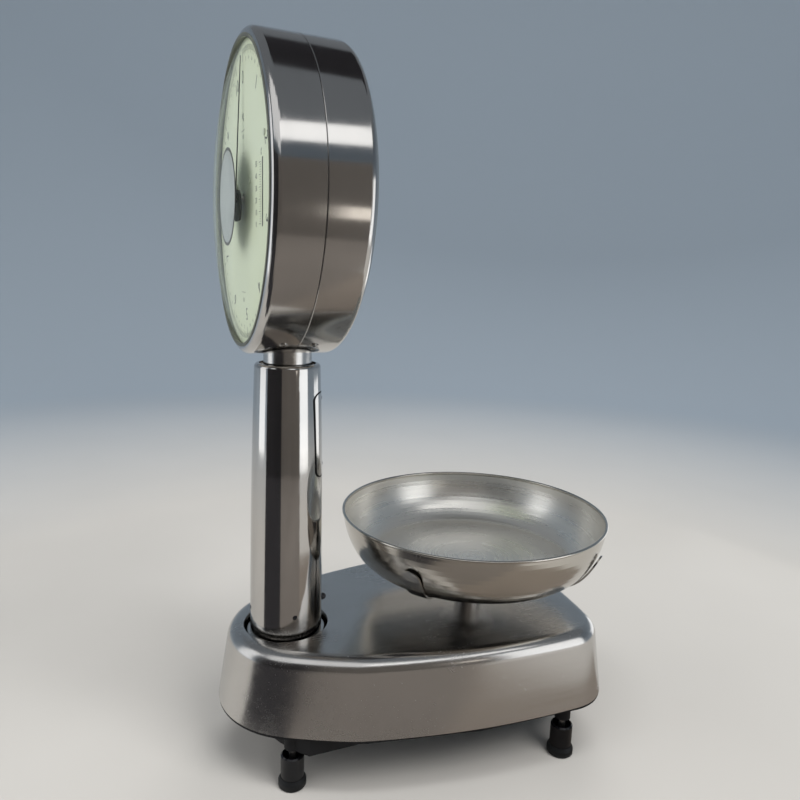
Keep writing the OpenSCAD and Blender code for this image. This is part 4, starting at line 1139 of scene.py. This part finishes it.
class DIALSCALE_OT_stage(bpy.types.Operator):
    """Sets the pale floor and wall, the soft lamps, the world and the camera"""

    bl_idname = "dialscale.stage"
    bl_label = "Stage"

    def execute(self, context):
        r = settings().stage.radius
        nothing_selected()
        bpy.ops.mesh.primitive_circle_add(vertices=96, radius=r, fill_type="NGON", location=(0, 0, 0))
        sweep = settle(bpy.context.active_object)
        only(sweep)
        bpy.ops.object.mode_set(mode="EDIT")
        bpy.ops.mesh.select_mode(type="EDGE")
        bpy.ops.mesh.select_all(action="SELECT")
        bpy.ops.mesh.region_to_loop()
        # The edge curves up into the wall in steps, and the wall goes up from there
        bend = 1.6
        z = 0.0
        at = r
        for k in range(1, 25):
            a = math.radians(90 * k / 24)
            radius = r + bend * math.sin(a)
            height = bend * (1 - math.cos(a))
            bpy.ops.mesh.extrude_edges_move(TRANSFORM_OT_translate={"value": (0, 0, height - z)})
            bpy.ops.transform.resize(value=(radius / at, radius / at, 1))
            z, at = height, radius
        bpy.ops.mesh.extrude_edges_move(TRANSFORM_OT_translate={"value": (0, 0, bend)})
        bpy.ops.mesh.select_mode(type="VERT")
        bpy.ops.mesh.select_all(action="SELECT")
        bpy.ops.mesh.normals_make_consistent(inside=True)
        bpy.ops.object.mode_set(mode="OBJECT")
        sweep.name = "studio_sweep"
        smooth(sweep, 40)
        give(sweep, stage_surface())
        # Lamps that light the object and don't show in the steel: name, place, size and power
        aim = (0, 0, 0.5)
        for name, at, size, power in (
            ("key", (1.6, 0.7, 2.3), (1.6, 1.4), 56),
            ("dial light", (-0.7, -2.3, 1.5), (2.6, 2.2), 34),
            ("dial fill", (1.3, -2.0, 0.9), (1.6, 1.6), 12),
            ("back light", (-1.7, 1.3, 2.3), (1.6, 1.2), 24),
        ):
            soft_lamp(name, at, aim, size, power).visible_glossy = False
        wash = soft_lamp("wall wash", (0.6, -0.3, 3.3), (-3.4, 1.5, 1.0), (2.0, 0.8), 60, (0.95, 0.98, 1.0))
        wash.visible_glossy = False
        # Panels that the steel reflects: turn round the column, distance, lowest and highest point, glow
        for name, turns, away, low, high, glow in (
            ("left panel", (-117, -91), 1.3, 0.05, 1.5, 1.0),
            ("right panel", (27, 57), 1.3, 0.02, 0.9, 1.3),
            ("low panel", (86, 112), 1.1, 0.02, 0.3, 1.1),
        ):
            width = 2 * away * math.tan(math.radians(turns[1] - turns[0]) / 2)
            middle = math.radians(sum(turns) / 2)
            at = Vector((away * math.cos(middle), COLUMN_Y + away * math.sin(middle), (low + high) / 2))
            reflected_panel(name, at, (0, COLUMN_Y, at.z), (width, high - low), glow)
        reflected_panel("drum panel", (1.62, 0.42, 2.0), (0.147, -0.17, 0.65), (1.6, 0.48), 1.35)
        # Screens that the steel reflects, each with a profile of distances and heights
        upright = ((0.19, 0.004), (1.25, 0.004), (1.25, 0.5), (1.25, 1.1))
        flat = ((0.19, 0.004), (0.3, 0.004), (0.45, 0.004), (0.62, 0.004))
        above = ((0.15, 2.1), (0.4, 2.1), (0.7, 2.1), (1.0, 2.1))
        reflected_screen("dark_screen", -84, -32, upright, (0.035, 0.033, 0.035))
        reflected_screen("grey_screen", -32, 27, upright, (0.19, 0.168, 0.15))
        reflected_screen("grey_foot", 27, 80, flat, (0.24, 0.205, 0.175))
        reflected_screen("dark_ceiling", 75, 170, above, (0.05, 0.046, 0.05))
        reflected_panel("warm spot", (1.13, 0.23, 0.42), (0.15, -0.14, 0.59), (0.13, 0.15), 1.3, WARM)
        reflected_panel("bowl panel", (0.95, -0.95, 1.9), (0, BOWL_Y, 0.2), (2.2, 1.2), 0.75)
        world = bpy.data.worlds.new("studio air")
        context.scene.world = world
        world.use_nodes = True
        back = world.node_tree.nodes["Background"]
        back.inputs["Color"].default_value = (0.55, 0.6, 0.66, 1)
        back.inputs["Strength"].default_value = 0.3
        photo_camera()
        context.scene.view_settings.view_transform = "Standard"
        return {"FINISHED"}


class DIALSCALE_PT_panel(bpy.types.Panel):
    """Lists the steps of the dressing"""

    bl_idname = "DIALSCALE_PT_panel"
    bl_label = "Dial Scale"
    bl_space_type = "VIEW_3D"
    bl_region_type = "UI"
    bl_category = "Dial Scale"

    def draw(self, context):
        for group in ("print_", "cover", "finish", "stage"):
            box = self.layout.box()
            values = getattr(context.scene.dial_scale, group)
            for key in values.__annotations__:
                box.prop(values, key)
        for step in STEPS:
            self.layout.operator(step.bl_idname)


STEPS = (
    DIALSCALE_OT_finishes,
    DIALSCALE_OT_dial_print,
    DIALSCALE_OT_badges,
    DIALSCALE_OT_head_screws,
    DIALSCALE_OT_cover,
    DIALSCALE_OT_stage,
)
CLASSES = (HeadPrint, CoverForm, Finishes, StageSettings, DialScaleSettings, *STEPS, DIALSCALE_PT_panel)


def register():
    for cls in CLASSES:
        bpy.utils.register_class(cls)
    bpy.types.Scene.dial_scale = PointerProperty(type=DialScaleSettings)


def unregister():
    del bpy.types.Scene.dial_scale
    for cls in reversed(CLASSES):
        bpy.utils.unregister_class(cls)


def main():
    register()
    for step in STEPS:
        area, name = step.bl_idname.split(".")
        if getattr(getattr(bpy.ops, area), name)() != {"FINISHED"}:
            raise RuntimeError(f"{step.bl_label} did not finish")


if __name__ == "__main__":
    main()
